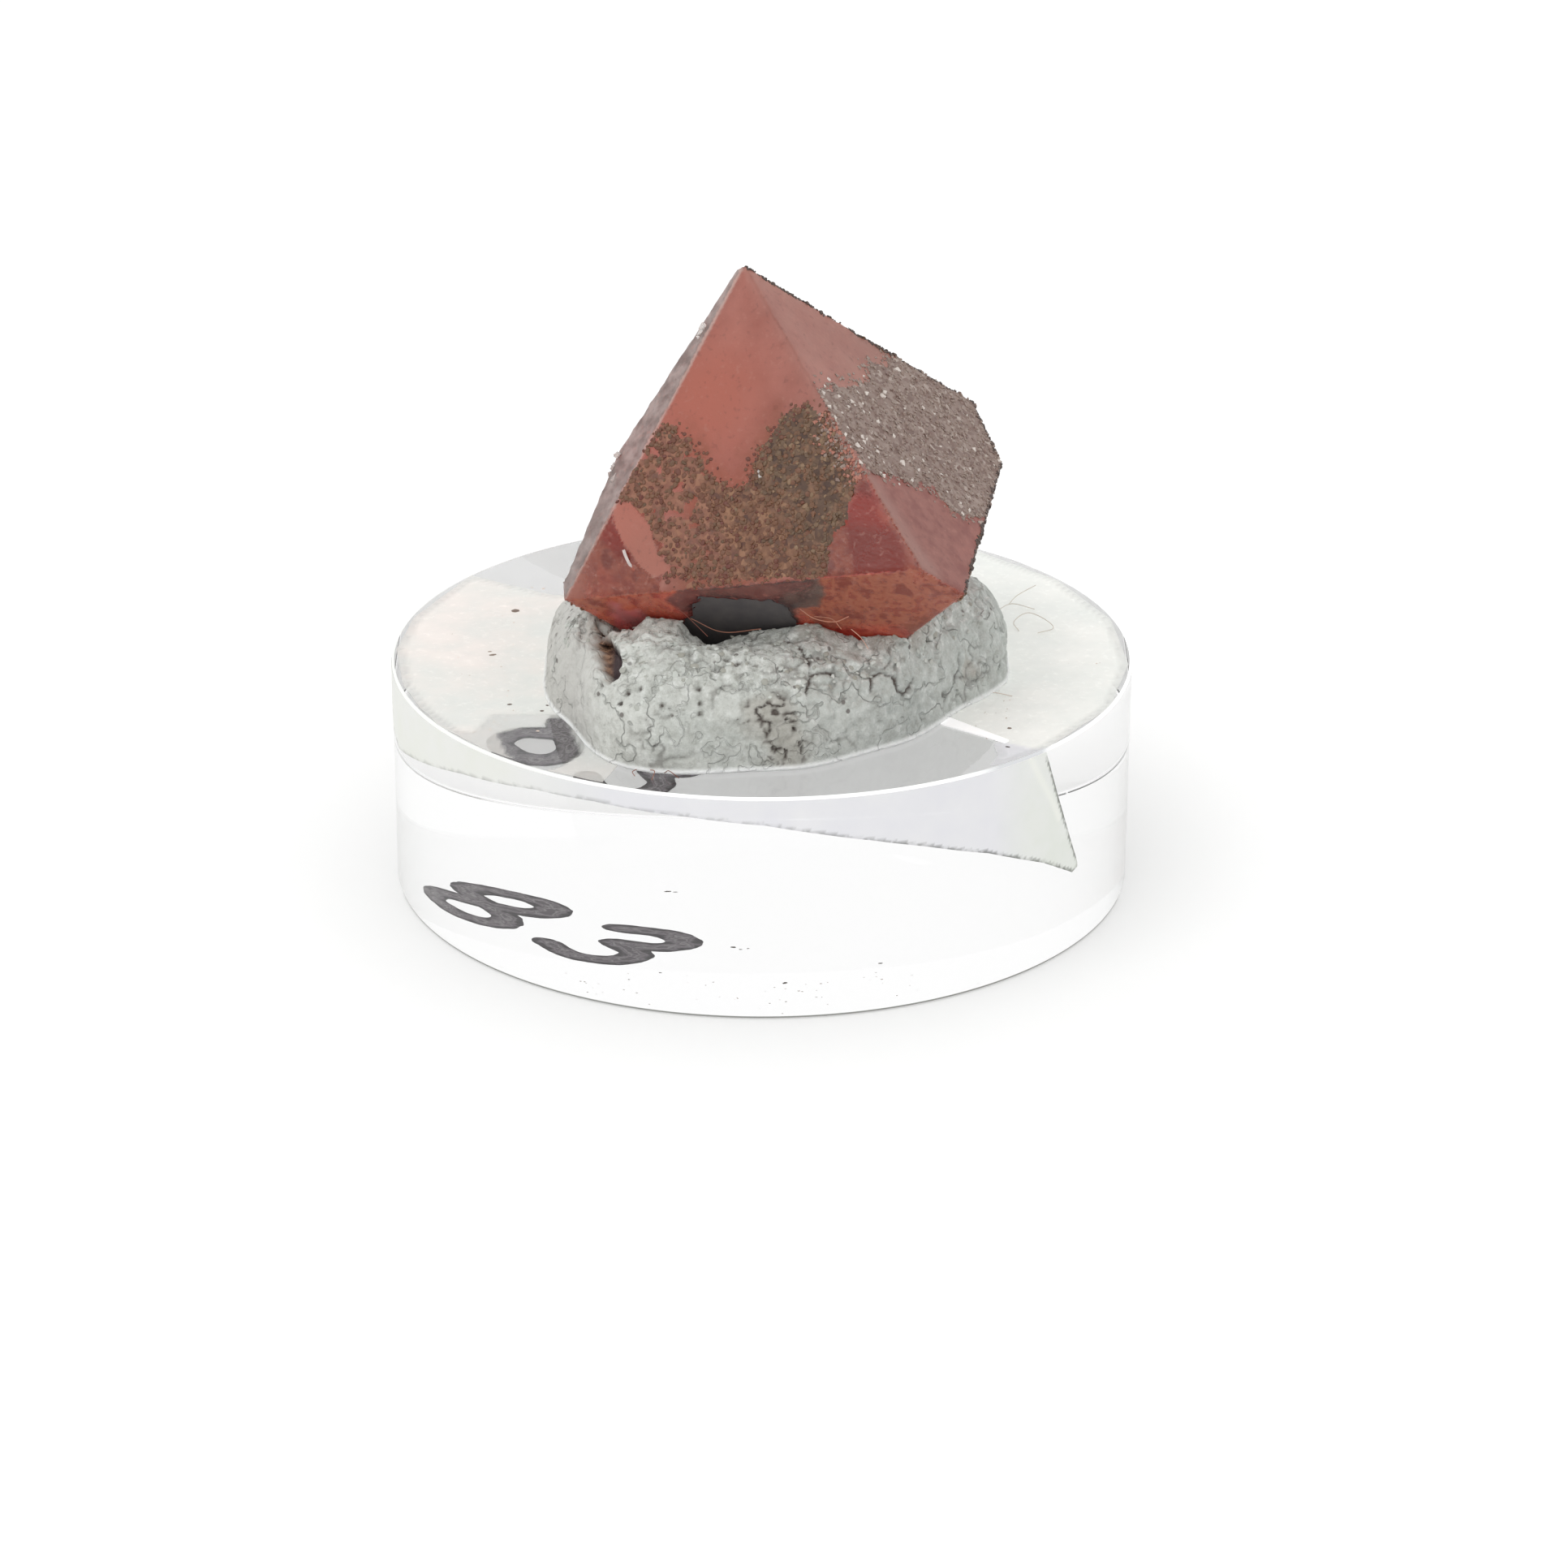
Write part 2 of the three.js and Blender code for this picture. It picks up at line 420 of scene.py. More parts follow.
def bumpOf(height, strength, distance):
    inputs = {"Height": height, "Strength": strength, "Distance": distance}
    return addNode("ShaderNodeBump", inputs).outputs["Normal"]


# Specks, a shader node group: noise cut between two levels, for the dust, scuffs, grains and blotches
specksGroup = bpy.data.node_groups.new("specks", "ShaderNodeTree")
specksGroup.interface.new_socket("Place", in_out="INPUT", socket_type="NodeSocketVector")
for name in ("Scale", "Detail", "Roughness", "Low", "High", "At Low", "At High"):
    specksGroup.interface.new_socket(name, in_out="INPUT", socket_type="NodeSocketFloat")
specksGroup.interface.new_socket("Mask", in_out="OUTPUT", socket_type="NodeSocketFloat")
tree = specksGroup
given = addNode("NodeGroupInput").outputs
place = given["Place"]
speckNoise = noiseOf(given["Scale"], given["Detail"], given["Roughness"])
speckMask = level(speckNoise, given["Low"], given["High"], given["At Low"], given["At High"])
tree.links.new(speckMask, addNode("NodeGroupOutput").inputs["Mask"])


def specks(scale, low, high, atLow=0.0, atHigh=1.0, detail=3.0, roughness=0.55):
    inputs = {"Place": place, "Scale": scale, "Detail": detail, "Roughness": roughness,
              "Low": low, "High": high, "At Low": atLow, "At High": atHigh}
    return addNode("ShaderNodeGroup", inputs, node_tree=specksGroup).outputs["Mask"]


# Camera, light and floor

view = {"place": (0.00097, -0.2007, 0.09036), "downDeg": 23.37, "rollDeg": 0.2, "lens": 114.8, "sensor": 36.0}
light = {"sky": 1.0, "key": 0.38, "keyPlace": (-0.16, -0.2, 0.4), "keySize": 0.3}
floorPlan = {"drop": 0.015, "size": 3.0, "shade": (0.69, 0.69, 0.685, 1), "glow": 0.3}

cameraData = bpy.data.cameras.new("camera")
cameraData.lens = view["lens"]
cameraData.sensor_width = view["sensor"]
cameraData.clip_start = 0.01
cameraData.clip_end = 10
camera = bpy.data.objects.new("camera", cameraData)
camera.location = view["place"]
camera.rotation_mode = "QUATERNION"
lookDown = Euler((math.radians(90 - view["downDeg"]), 0, 0)).to_quaternion()
camera.rotation_quaternion = lookDown @ Quaternion((0, 0, 1), math.radians(view["rollDeg"]))
bpy.context.scene.collection.objects.link(camera)
bpy.context.scene.camera = camera

world = bpy.data.worlds.new("studio")
bpy.context.scene.world = world
world.use_nodes = True
world.node_tree.nodes["Background"].inputs["Color"].default_value = (1, 1, 1, 1)
world.node_tree.nodes["Background"].inputs["Strength"].default_value = light["sky"]
bpy.context.scene.view_settings.view_transform = "Standard"

keyData = bpy.data.lights.new("keyLight", "AREA")
keyData.energy = light["key"]
keyData.size = light["keySize"]
key = bpy.data.objects.new("keyLight", keyData)
key.location = light["keyPlace"]
key.rotation_mode = "QUATERNION"
key.rotation_quaternion = (-Vector(light["keyPlace"])).to_track_quat("-Z", "Y")
bpy.context.scene.collection.objects.link(key)

selectOnly(camera)
bpy.ops.mesh.primitive_plane_add(size=floorPlan["size"], location=(0, 0, -floorPlan["drop"] * mm))
floor = bpy.context.object
floor.name = "floor"
floorMaterial = newMaterial("paleFloor", {"Base Color": floorPlan["shade"], "Roughness": 0.9,
                                          "Specular IOR Level": 0.1, "Emission Color": (1, 1, 1, 1),
                                          "Emission Strength": floorPlan["glow"]})
floor.data.materials.append(floorMaterial)
print("stage set")


# Acrylic base: a polished clear disc with eased edges

disc = {"radius": 15.97, "easing": 0.11, "underside": 0.02, "sides": 256, "ior": 1.49}

selectOnly(camera)
bpy.ops.mesh.primitive_cylinder_add(
    vertices=disc["sides"], radius=disc["radius"] * mm, depth=(baseTop - disc["underside"]) * mm,
    location=(0, 0, (baseTop + disc["underside"]) / 2 * mm))
acrylic = bpy.context.object
acrylic.name = "acrylicDisc"
bpy.ops.object.transform_apply(location=True, rotation=True, scale=True)

acrylicMaterial = newMaterial("clearAcrylic", {"Base Color": (1, 1, 1, 1), "Transmission Weight": 1.0,
                                               "IOR": disc["ior"]})
feed(specks(1400.0, 0.55, 0.75, atHigh=0.06, detail=4.0), "Roughness")  # scuffs
# Eased rim: painted white with a painted glow. Towards the right it is lighter and glows more, a painted
# highlight. Where the film goes over it, it is greyer with less glow.
rimHighlightEdge = newMaterial("rimHighlightEdge", {"Emission Strength": 1.0, "Roughness": 0.5})
across = acrossOf()
folded = product(level(across, 0.0085, 0.0098), level(across, 0.0121, 0.0116))  # where the film goes over it
highlighted = level(across, -0.009, -0.003)
feed(layered((236, 238, 234), (highlighted, (246, 248, 247)), (folded, (204, 206, 208))), "Base Color")
feed(product(level(folded, 0.0, 1.0, 0.25, 0.08), level(highlighted, 0.0, 1.0, 0.2, 1.0)), "Emission Color")
# Dark grey on the front faces of the lower eased edge: a painted contact shadow.
contactShadowEdge = newMaterial("contactShadowEdge", {"Base Color": (146, 147, 143), "Roughness": 0.7})
for material in (acrylicMaterial, rimHighlightEdge, contactShadowEdge):
    acrylic.data.materials.append(material)
applyModifier(acrylic, "BEVEL", width=disc["easing"] * mm, segments=3, limit_method="ANGLE", material=1)
for polygon in acrylic.data.polygons:
    if polygon.center.z < 0.001:
        inFront = polygon.center.y < -0.004 and abs(polygon.normal.z) < 0.99
        polygon.material_index = 2 if inFront else 0
selectOnly(acrylic)
bpy.ops.object.shade_smooth_by_angle(angle=math.radians(12))
settle(acrylic, [], "acrylic", "acrylic_base")  # its materials are on it already

# A clear film between the tack and the base, greyed with dust and old residue
film = {
    "outline": [(-15.2, -4.2), (-14.2, -6.9), (-12.7, -9.4), (-11.7, -9.6), (-11.1, -7.6), (7.4, -7.75),
                (9.8, -10.0), (9.62, -10.4), (9.75, -11.5), (9.4, -12.6), (10.0, -12.3), (11.8, -10.7),
                (14.7, -6.25), (15.75, -1.4), (15.3, 3.8), (13.2, 8.6), (9.6, 12.4), (3.0, 9.0),
                (-9.3, 6.5), (-13.1, 8.9), (-15.3, 3.8), (-15.8, 0.0)],
    # a thinner veil around the digits, the window where they show, and the stretch that folds over the rim
    "veil": [(-15.2, -4.2), (-13.5, -8.4), (-11.5, -10.9), (-8.9, -13.1), (-6.4, -14.4), (-5.6, -12.0),
             (-6.0, -7.4), (-12.0, -7.0)],
    "window": [(-10.9, -9.4), (-10.0, -8.8), (-9.0, -8.6), (-8.9, -7.7), (-8.2, -7.7), (-7.4, -11.5),
               (-8.2, -12.9), (-9.0, -13.3), (-9.9, -12.8), (-10.5, -11.2)],
    "fold": [(9.8, -9.9), (9.5, -10.4), (9.6, -11.5), (9.2, -12.8), (10.4, -12.5), (12.3, -10.4),
             (11.4, -10.9)],
    "step": 0.2,
}


def filmDepth(places):
    nearest = np.maximum(depthInside(places, film["outline"]), depthInside(places, film["veil"]))
    return nearest + 0.03 * flatCloud(places, 0.6, 41)


haze = flatSheet("dustyFilm", (-16, -16), (16, 16), film["step"], filmDepth, baseTop - 0.01, baseTop + 0.02)
hazePlaces = readPoints(haze)[:, :2]
cover = np.maximum(rise(depthInside(hazePlaces, film["outline"]), -0.1, 0.5), 0.5)
window = rise(depthInside(hazePlaces, film["window"]), -0.1, 0.1)
writeMask(haze, "cover", cover * (1 - 0.88 * window))
writeMask(haze, "window", window)
writeMask(haze, "fold", rise(depthInside(hazePlaces, film["fold"]), -0.1, 0.1))
hazeMaterial = newMaterial("dustyFilm", {"Emission Strength": 1.0, "Roughness": 0.6})
drift = noiseOf(260.0, 4.0)
across = acrossOf()
# Towards the right the film is painted lighter and less pink, and it glows faintly: painted light.
paintedLightRight = level(across, 0.002, 0.008)
hazeTone = layered(
    ramp(drift, [(0.35, 250, 252, 247), (0.65, 253, 246, 240)]), (paintedLightRight, (249, 253, 248), 0.7),
    ("window", (150, 153, 153)), ("fold", (232, 233, 237)))
feed(hazeTone, "Base Color")
grime = specks(2600.0, 0.55, 0.75, atHigh=0.12, roughness=0.7)
dust = reckon("ADD", level(drift, 0.3, 0.7, 0.68, 0.9), grime)
feed(product(dust, maskOf("cover")), "Alpha")
# a faint painted glow towards the right
feed(level(across, 0.003, 0.009, 0.0, 0.07), "Emission Color")
feed(bumpOf(drift, 0.3, 0.0004), "Normal")
settle(haze, [hazeMaterial], "film")

# The film's torn front edge, standing up beside the tack, white and glowing as a painted highlight
tornEdge = {
    "outline": [(7.1, -7.95), (10.1, -10.22), (10.28, -9.95), (7.6, -7.25)],
    "step": 0.1,
    "top": 0.06,
    "glow": 0.22,
}


def tornDepth(places):
    return depthInside(places, tornEdge["outline"])


lift = flatSheet("filmEdge", (6.5, -11), (11, -6.5), tornEdge["step"], tornDepth,
                 baseTop + 0.01, baseTop + tornEdge["top"])
paintedHighlightEdge = newMaterial("filmEdge", {"Base Color": (252, 252, 252), "Roughness": 0.4,
                                     "Emission Color": (1, 1, 1, 1), "Emission Strength": tornEdge["glow"]})
settle(lift, [paintedHighlightEdge], "film")

# The film's cut end, hanging over the rim and lying on the wall
flap = {
    # turn in degrees from the front towards the right, and height
    "outline": [(-88, 9.3), (-82, 7.2), (-75, 7.0), (-63, 7.7), (-51, 8.4), (-35, 9.0), (-25, 9.1),
                (-10, 8.95), (1, 8.7), (9, 8.25), (17, 7.75), (25, 7.15), (36, 6.15), (47.4, 4.78),
                (55, 3.6), (56.5, 3.75), (56.4, 3.95), (54, 5.35), (50.6, 7.55), (47.4, 9.85), (-88, 9.85)],
    "creaseHighlight": [(44.0, 9.8), (46.5, 8.6), (49.3, 7.4), (51.0, 6.5)],
    "low": (-25, 3.3),
    "high": (16.2, 9.9),
    "off": 0.008,
    "thickness": 0.015,
    "step": 0.12,
    "alpha": 0.8,
}
perDegree = math.radians(1) * disc["radius"]
flapOutline = np.array(flap["outline"]) * (perDegree, 1)


def flapDepth(places):
    return np.minimum(depthInside(places, flapOutline), baseTop - disc["easing"] - 0.01 - places[:, 1])


lap = flatSheet("filmFlap", flap["low"], flap["high"], flap["step"], flapDepth, flap["off"],
                flap["off"] + flap["thickness"])
points = readPoints(lap)
writeMask(lap, "cut", rise(-depthInside(points[:, :2], flapOutline), -0.09, -0.03) * (points[:, 1] < 9.6))
creaseHighlight = np.array(flap["creaseHighlight"]) * (perDegree, 1)
writeMask(lap, "creaseHighlight", 1 - rise(distanceToPath(points[:, :2], creaseHighlight), 0.06, 0.25))
turns = points[:, 0] / disc["radius"]
reach = disc["radius"] + points[:, 2]
writePoints(lap, np.stack([reach * np.sin(turns), -reach * np.cos(turns), points[:, 1]], axis=1))
glowingFlapMaterial = newMaterial("filmFlap", {"Emission Strength": 1.0, "Alpha": flap["alpha"], "Roughness": 0.6})
across = acrossOf()
cutSpots = specks(2200.0, 0.42, 0.56, atLow=0.25, atHigh=0.9, detail=2.0)
cutLine = product(maskOf("cut"), cutSpots, level(across, 0.0, 0.012, 0.35, 1.0))
flapTone = layered(
    (190, 190, 195), (level(across, 0.0096, 0.0112), (187, 191, 182)),
    (level(across, -0.006, -0.011), (193, 195, 186)),
    (specks(500.0, 0.35, 0.65, atHigh=0.5, detail=4.0), (200, 200, 200)),
    # a painted highlight along the film's crease
    ("creaseHighlight", (207, 208, 199), 0.6),
    (cutLine, (112, 114, 108)))
feed(level(cutLine, 0.0, 0.5, 0.25, 0.0), "Emission Color")  # painted glow standing in for the light that reaches the film, less along the cut
feed(flapTone, "Base Color")
settle(lap, [glowingFlapMaterial], "film", "film_flap")

# Two plain digits in marker ink on the underside
ink = {
    "stroke": 0.6, "middle": (-6.7, -3.6), "turnDeg": -44.0, "pace": 5.3,
    "step": 0.14, "heights": (0.006, 0.035),
    "eight": [(0.1, 0.1), (-1.25, 1.0), (-1.1, 2.3), (0.15, 2.9), (1.3, 2.2), (1.2, 1.0), (-0.1, 0.1),
              (-1.4, -0.9), (-1.5, -2.2), (-0.1, -2.9), (1.4, -2.3), (1.4, -0.9), (0.1, 0.1)],
    "three": [(-1.4, 2.2), (-0.1, 2.8), (1.2, 2.1), (1.1, 0.9), (-0.1, 0.2), (1.3, -0.5), (1.5, -2.0),
              (0.2, -2.9), (-1.4, -2.3)],
}


def inkDepth(places):
    turn = math.radians(ink["turnDeg"])
    shifted = places - ink["middle"]
    local = shifted @ np.array([[math.cos(turn), -math.sin(turn)], [math.sin(turn), math.cos(turn)]])
    nearest = np.full(len(places), 1e9)
    for name, start in (("eight", -0.5), ("three", 0.5)):
        stroke = smoothPath(ink[name], 5) + (start * ink["pace"], 0)
        nearest = np.minimum(nearest, distanceToPath(local, stroke))
    return ink["stroke"] - nearest + 0.05 * flatCloud(places, 0.4, 51, 2)


digits = flatSheet("inkDigits", (-14, -11), (0, 4), ink["step"], inkDepth, *ink["heights"])
inkMaterial = newMaterial("markerInk", {"Roughness": 0.6})
streaks = noiseOf(1500.0, 4.0)
inward = reckon("ADD", maskOf("depth"), level(streaks, 0.3, 0.7, -0.28, 0.28))
fill = ramp(inward, [(0.08, 62, 54, 60), (0.2, 104, 96, 102), (0.32, 150, 143, 148), (0.4, 104, 96, 102),
                     (0.5, 172, 166, 170), (0.6, 108, 100, 106)])
feed(fill, "Base Color")
settle(digits, [inkMaterial], "acrylic")
print("base made")


# Fluorite crystal

# height of the tack's lip on the crystal's lower front face, from left to right
lipLine = [(-7.6, 14.2), (-6.8, 13.85), (-5.9, 13.9), (-5.4, 13.95), (-4.8, 14.4), (-3.4, 14.35),
           (-2.8, 13.85), (-2.0, 13.65), (-1.2, 13.85), (0.8, 14.25), (2.1, 14.55), (3.2, 14.1),
           (4.1, 13.9), (5.5, 14.3), (6.8, 14.95)]


def lipHeight(points):
    alongLip, heights = np.array(lipLine).T
    return np.interp(points[:, 0], alongLip, heights)


gem = {
    "voxel": 0.116,
    "ior": 1.434,
    "absorbColour": (0.84, 0.26, 0.16, 1),
    "absorbDensity": 300.0,
    "transmission": 0.6,
    # how far the faces stand out or in
    "waves": 0.01, "coatLift": 0.03, "coatGrain": 0.045,
    "leftGrain": 0.035, "wornEdges": 0.05, "gapDepth": 0.1,
    # outlines on the upper front face, from its left corner along its foot and up the face
    "coat": [(2.5, 3.4), (2.7, 4.6), (3.3, 5.7), (4.3, 6.4), (5.3, 6.1), (6.1, 5.2), (6.5, 4.5), (7.4, 3.8),
             (8.2, 3.9), (8.55, 4.9), (9.2, 6.0), (10.0, 6.85), (10.9, 7.1), (11.7, 6.4), (12.5, 5.0),
             (13.0, 3.8), (12.6, 2.3), (12.0, 1.2), (11.7, -0.2), (7.5, -0.2), (4.6, 0.1), (4.35, 1.2),
             (3.95, 2.35), (3.1, 3.2)],
    "strip": [(2.25, 3.3), (3.0, 3.35), (3.95, 2.35), (4.35, 1.1), (5.2, 0.35), (4.3, 0.15), (3.5, 0.75),
              (2.85, 1.55), (2.4, 2.5)],
    # outline on the upper right face, from its front corner up the ridge and away from it
    "sparkle": [(9.3, -0.3), (9.6, 1.75), (9.9, 3.9), (10.9, 5.0), (11.5, 7.6), (9.0, 12.0), (6.0, 12.0),
                (2.9, 6.9), (2.9, 5.1), (3.6, 4.4), (4.4, 4.2), (4.8, 1.7), (4.9, 0.4), (6.0, 0.35),
                (7.4, -0.4)],
    # outlines on the lower front face, from its right corner along its head and down the face
    "band": [(4.3, -0.2), (10.4, -0.3), (11.4, 0.6), (11.0, 1.6), (5.2, 2.0), (4.6, 1.2)],
    "gap": [(6.5, 1.9), (6.9, 1.35), (9.8, 0.68), (10.35, 0.95), (10.6, 1.7), (12.4, 3.4), (12.0, 4.6),
            (9.7, 6.5), (7.0, 6.5), (6.6, 3.2)],
    # crimson depths seen in the front faces
    "crimson": [(12.5, 2.5), (13.4, 4.0), (15.1, 0.8), (15.7, -0.3), (13.1, -0.2), (12.7, 1.3)],
    "crimsonLeft": [(2.3, 3.1), (3.4, 0.8), (2.6, 1.0), (1.9, 1.7), (1.6, 2.3)],
    "crimsonFoot": [(13.7, 0.2), (12.7, 1.5), (12.6, 3.4), (14.4, 3.0), (14.3, 1.4)],
}

crystal = copyOfNode("fluorite_crystal", "fluoriteCrystal")

# The CAD faces as planes, largest first
planes = []
for polygon in crystal.data.polygons:
    offset = polygon.normal.dot(polygon.center) / mm
    for known in planes:
        if known["normal"].dot(polygon.normal) > 0.9995 and abs(known["offset"] - offset) < 0.05:
            known["area"] += polygon.area
            break
    else:
        planes.append({"normal": polygon.normal.copy(), "offset": offset, "area": polygon.area})
planes.sort(key=lambda known: -known["area"])
planeNormals = np.array([known["normal"] for known in planes])
planeOffsets = np.array([known["offset"] for known in planes])


def planeFacing(x, y, z):
    return int(np.argmax(planeNormals @ np.array([x, y, z])))


upperFront = planeFacing(-0.36, -0.765, 0.533)
upperRight = planeFacing(0.643, -0.229, 0.73)
lowerFront = planeFacing(-0.124, -0.793, -0.596)

rawPoints = readPoints(crystal)
apex = rawPoints[np.argmax(rawPoints[:, 2])]
frontCorner = rawPoints[np.argmin(rawPoints[:, 1])]
leftCorner = rawPoints[np.argmin(rawPoints[:, 0])]


def faceCoordinates(points, origin, towards, plane):
    along = (towards - origin) / np.linalg.norm(towards - origin)
    across = np.cross(planeNormals[plane], along)
    return np.stack([(points - origin) @ along, (points - origin) @ across], axis=1)


applyModifier(crystal, "REMESH", mode="VOXEL", voxel_size=gem["voxel"] * mm)
points = readPoints(crystal)
heights = points @ planeNormals.T - planeOffsets
ranked = np.argsort(-heights, axis=1)[:, :2]
side, neighbour = ranked.T
normals = planeNormals[side]
slant = np.sqrt(np.maximum(1 - (normals * planeNormals[neighbour]).sum(axis=1) ** 2, 0.01))
nearest = np.take_along_axis(heights, ranked, 1)
toEdge = (nearest[:, 0] - nearest[:, 1]) / slant

onFront = side == upperFront
onRight = side == upperRight
onLower = side == lowerFront
onLeft = (normals[:, 0] < -0.7) & ~onFront
onBack = ~(onFront | onRight | onLower | onLeft)
frontPlace = faceCoordinates(points, leftCorner, frontCorner, upperFront)
rightPlace = faceCoordinates(points, frontCorner, apex, upperRight) * np.array([1, -1])
lowerPlace = faceCoordinates(points, frontCorner, leftCorner, lowerFront)

ragged = 0.13 * cloud(points, 0.9, 3, 2) + 0.17 * cloud(points, 0.26, 4)
coatDepth = depthInside(frontPlace, gem["coat"])
sparkleDepth = depthInside(rightPlace, gem["sparkle"])
leftLobe = rise(-frontPlace[:, 0] - 0.4 * frontPlace[:, 1], -9.0, -7.0)
holes = leftLobe * (0.56 * cloud(points, 0.3, 13) - 0.04)
coat = np.where(onFront, rise(np.minimum(coatDepth, 0.35) + ragged + holes, -0.05, 0.1), 0.0)
sparkle = np.where(onRight, rise(sparkleDepth + 1.5 * ragged, -0.05, 0.1), 0.0)
strip = np.where(onFront, rise(depthInside(frontPlace, gem["strip"]) + 0.2 * ragged, -0.03, 0.03), 0.0)
coat = coat * (1 - strip)
band = np.where(onLower, rise(depthInside(lowerPlace, gem["band"]) + 0.6 * ragged, -0.1, 0.15), 0.0)
gapDepth = depthInside(lowerPlace, gem["gap"]) + 0.9 * ragged
gap = np.where(onLower, rise(gapDepth, -0.02, 0.05), 0.0)
gapShade = np.where(onLower, rise(gapDepth, -0.5, 0.02), 0.0)
overLip = points[:, 2] - lipHeight(points)
footShade = onLower * (1 - rise(overLip + 0.3 * cloud(points, 0.8, 17, 2), 0.1, 0.8))
margin = 1 - rise(rightPlace[:, 1] + 0.6 * ragged + 0.12 * rightPlace[:, 0], 0.6, 1.5)
margin = onRight * margin * (1 - sparkle)

# windows are the clear, deep red stretches
rightWindow = rise(frontPlace[:, 0] + 0.3 * ragged, 11.0, 11.3) * (frontPlace[:, 1] < 4.4)
leftWindow = (frontPlace[:, 0] < 4.6) & (frontPlace[:, 1] < 3.2)
window = np.where(onFront, np.maximum(rightWindow, leftWindow), np.where(onLower, 1.0, 0.0)) * (1 - strip)
# Paler tone along the ridge and over the upper right face: a painted sheen.
pale = rise(np.where(onRight, toEdge, -toEdge) + 0.1 * cloud(points, 0.5, 12), -0.7, 0.5)
pale = pale * (onFront | onRight)
pale = np.where(onFront & (neighbour != upperRight), 0.0, pale)
pale = np.where(onRight & (neighbour != upperFront), 1.0, pale) * (1 - window)
# A lighter orange patch on the upper front face: a painted glow.
glowing = rise(-np.linalg.norm(frontPlace - (6.2, 7.6), axis=1), -4.2, -0.5)
glowing = onFront * glowing * (1 - coat) * (1 - window)
backCoat = np.where(onBack, rise(cloud(points, 4.0, 7, 3), -0.1, 0.15), 0.0)
# Along the silhouette edges of the right face: a dark line of crust and dark grey grains, painted shade.
rim = (onRight & (neighbour != upperFront) & (neighbour != lowerFront)) | (onBack & (neighbour == upperRight))
silhouetteShade = rim * (1 - rise(toEdge + 0.12 * cloud(points, 0.4, 14, 2), 0.03, 0.13))
coat = np.maximum(coat, np.maximum(backCoat, silhouetteShade))

grain = cloud(points, 0.3, 5, 2)
push = gem["waves"] * cloud(points, 0.9, 6, 2) * (1 - 0.7 * window)
push += np.maximum(coat, sparkle) * (gem["coatLift"] + gem["coatGrain"] * grain)
push += onLeft * (gem["leftGrain"] * cloud(points, 0.45, 8, 2))
wear = rise(-toEdge, -0.5, 0.0) * gem["wornEdges"]
push -= wear * np.maximum(cloud(points, 0.7, 15, 2), 0) * (1 - window)
push -= gap * gem["gapDepth"]
points += normals * push[:, None]
writePoints(crystal, points)

crimson = np.maximum(depthInside(frontPlace, gem["crimson"]), depthInside(frontPlace, gem["crimsonLeft"]))
crimson = np.where(onFront, crimson, np.where(onLower, depthInside(lowerPlace, gem["crimsonFoot"]), -1.0))
crimson = rise(crimson + 0.25 * cloud(points, 0.7, 16, 2), -0.15, 0.2)
# A thin lighter line along the front face's left edge: a painted highlight.
leftRim = np.where((onFront & (normals[:, 0] > -0.6) & (planeNormals[neighbour][:, 0] < -0.7))
                   | (onLeft & (neighbour == upperFront)), 1 - rise(toEdge, 0.03, 0.13), 0.0)
valley = onFront * rise(frontPlace[:, 0], 4.5, 6.0) * (1 - rise(frontPlace[:, 0], 9.0, 10.0))
thin = valley * rise(coatDepth + 1.5 * ragged, -1.2, 0.1) * (1 - window)
corner = onFront * (1 - rise(frontPlace[:, 0] + ragged, 0.5, 1.9))
dusty = onRight * rise(-rightPlace[:, 0], -6.0, -5.0)
coatLobe = rise(frontPlace[:, 0] + 0.8 * frontPlace[:, 1] + ragged, 10.5, 13.5)
crystalMasks = {
    "frontFace": onFront, "leftSide": onLeft, "edge": leftRim, "corner": corner, "pale": pale, "dusty": dusty,
    "window": window, "crimson": crimson, "glowing": glowing, "footShade": footShade, "margin": margin,
    "strip": strip, "thin": thin, "sparkle": sparkle, "leftLobe": leftLobe, "coatLobe": coatLobe,
    "band": band, "gapShade": gapShade,
}
for name, values in crystalMasks.items():
    writeMask(crystal, name, values)

fluorite = newMaterial("fluorite", {"Transmission Weight": gem["transmission"], "IOR": gem["ior"]})
mottle = noiseOf(700.0, 4.0)
fine = noiseOf(5200.0)
blotch = noiseOf(1500.0)
frosted = layered(
    ramp(mottle, [(0.3, 198, 120, 104), (0.7, 226, 150, 134)]), ("glowing", (228, 134, 112)),
    # painted sheen
    ("pale", ramp(mottle, [(0.3, 210, 146, 132), (0.7, 226, 166, 150)])))
deep = blend(maskOf("frontFace"), (234, 144, 142), (160, 60, 46))
glassy = layered(
    ramp(blotch, [(0.36, 190, 94, 78), (0.47, 224, 128, 102), (0.55, 238, 142, 110), (0.66, 212, 108, 88)]),
    ("frontFace", ramp(blotch, [(0.36, 156, 76, 62), (0.5, 192, 106, 84), (0.64, 174, 88, 72)])),
    ("corner", (214, 138, 120)),
    ("crimson", deep),
    ("footShade", (128, 72, 66), 0.36))
tint = layered(
    frosted, ("dusty", ramp(blotch, [(0.36, 184, 114, 104), (0.6, 206, 138, 126)])),
    ("margin", (212, 158, 146)),
    # the left face: granular grey-pink, paler as a painted sheen
    ("leftSide", ramp(blotch, [(0.35, 164, 146, 140), (0.65, 226, 208, 202)])),
    ("thin", (184, 108, 80), 0.8),
    ("window", glassy),
    ("band", ramp(blotch, [(0.4, 122, 96, 90), (0.6, 146, 118, 108)])),
    ("gapShade", (74, 58, 58)),
    ("strip", (228, 146, 126)),
    ("edge", (250, 216, 204)),
    (specks(3600.0, 0.6, 0.72, atHigh=0.3, detail=2.0), (140, 76, 68)),
    (specks(3600.0, 0.4, 0.3, atHigh=0.25, detail=2.0), (244, 182, 164)))
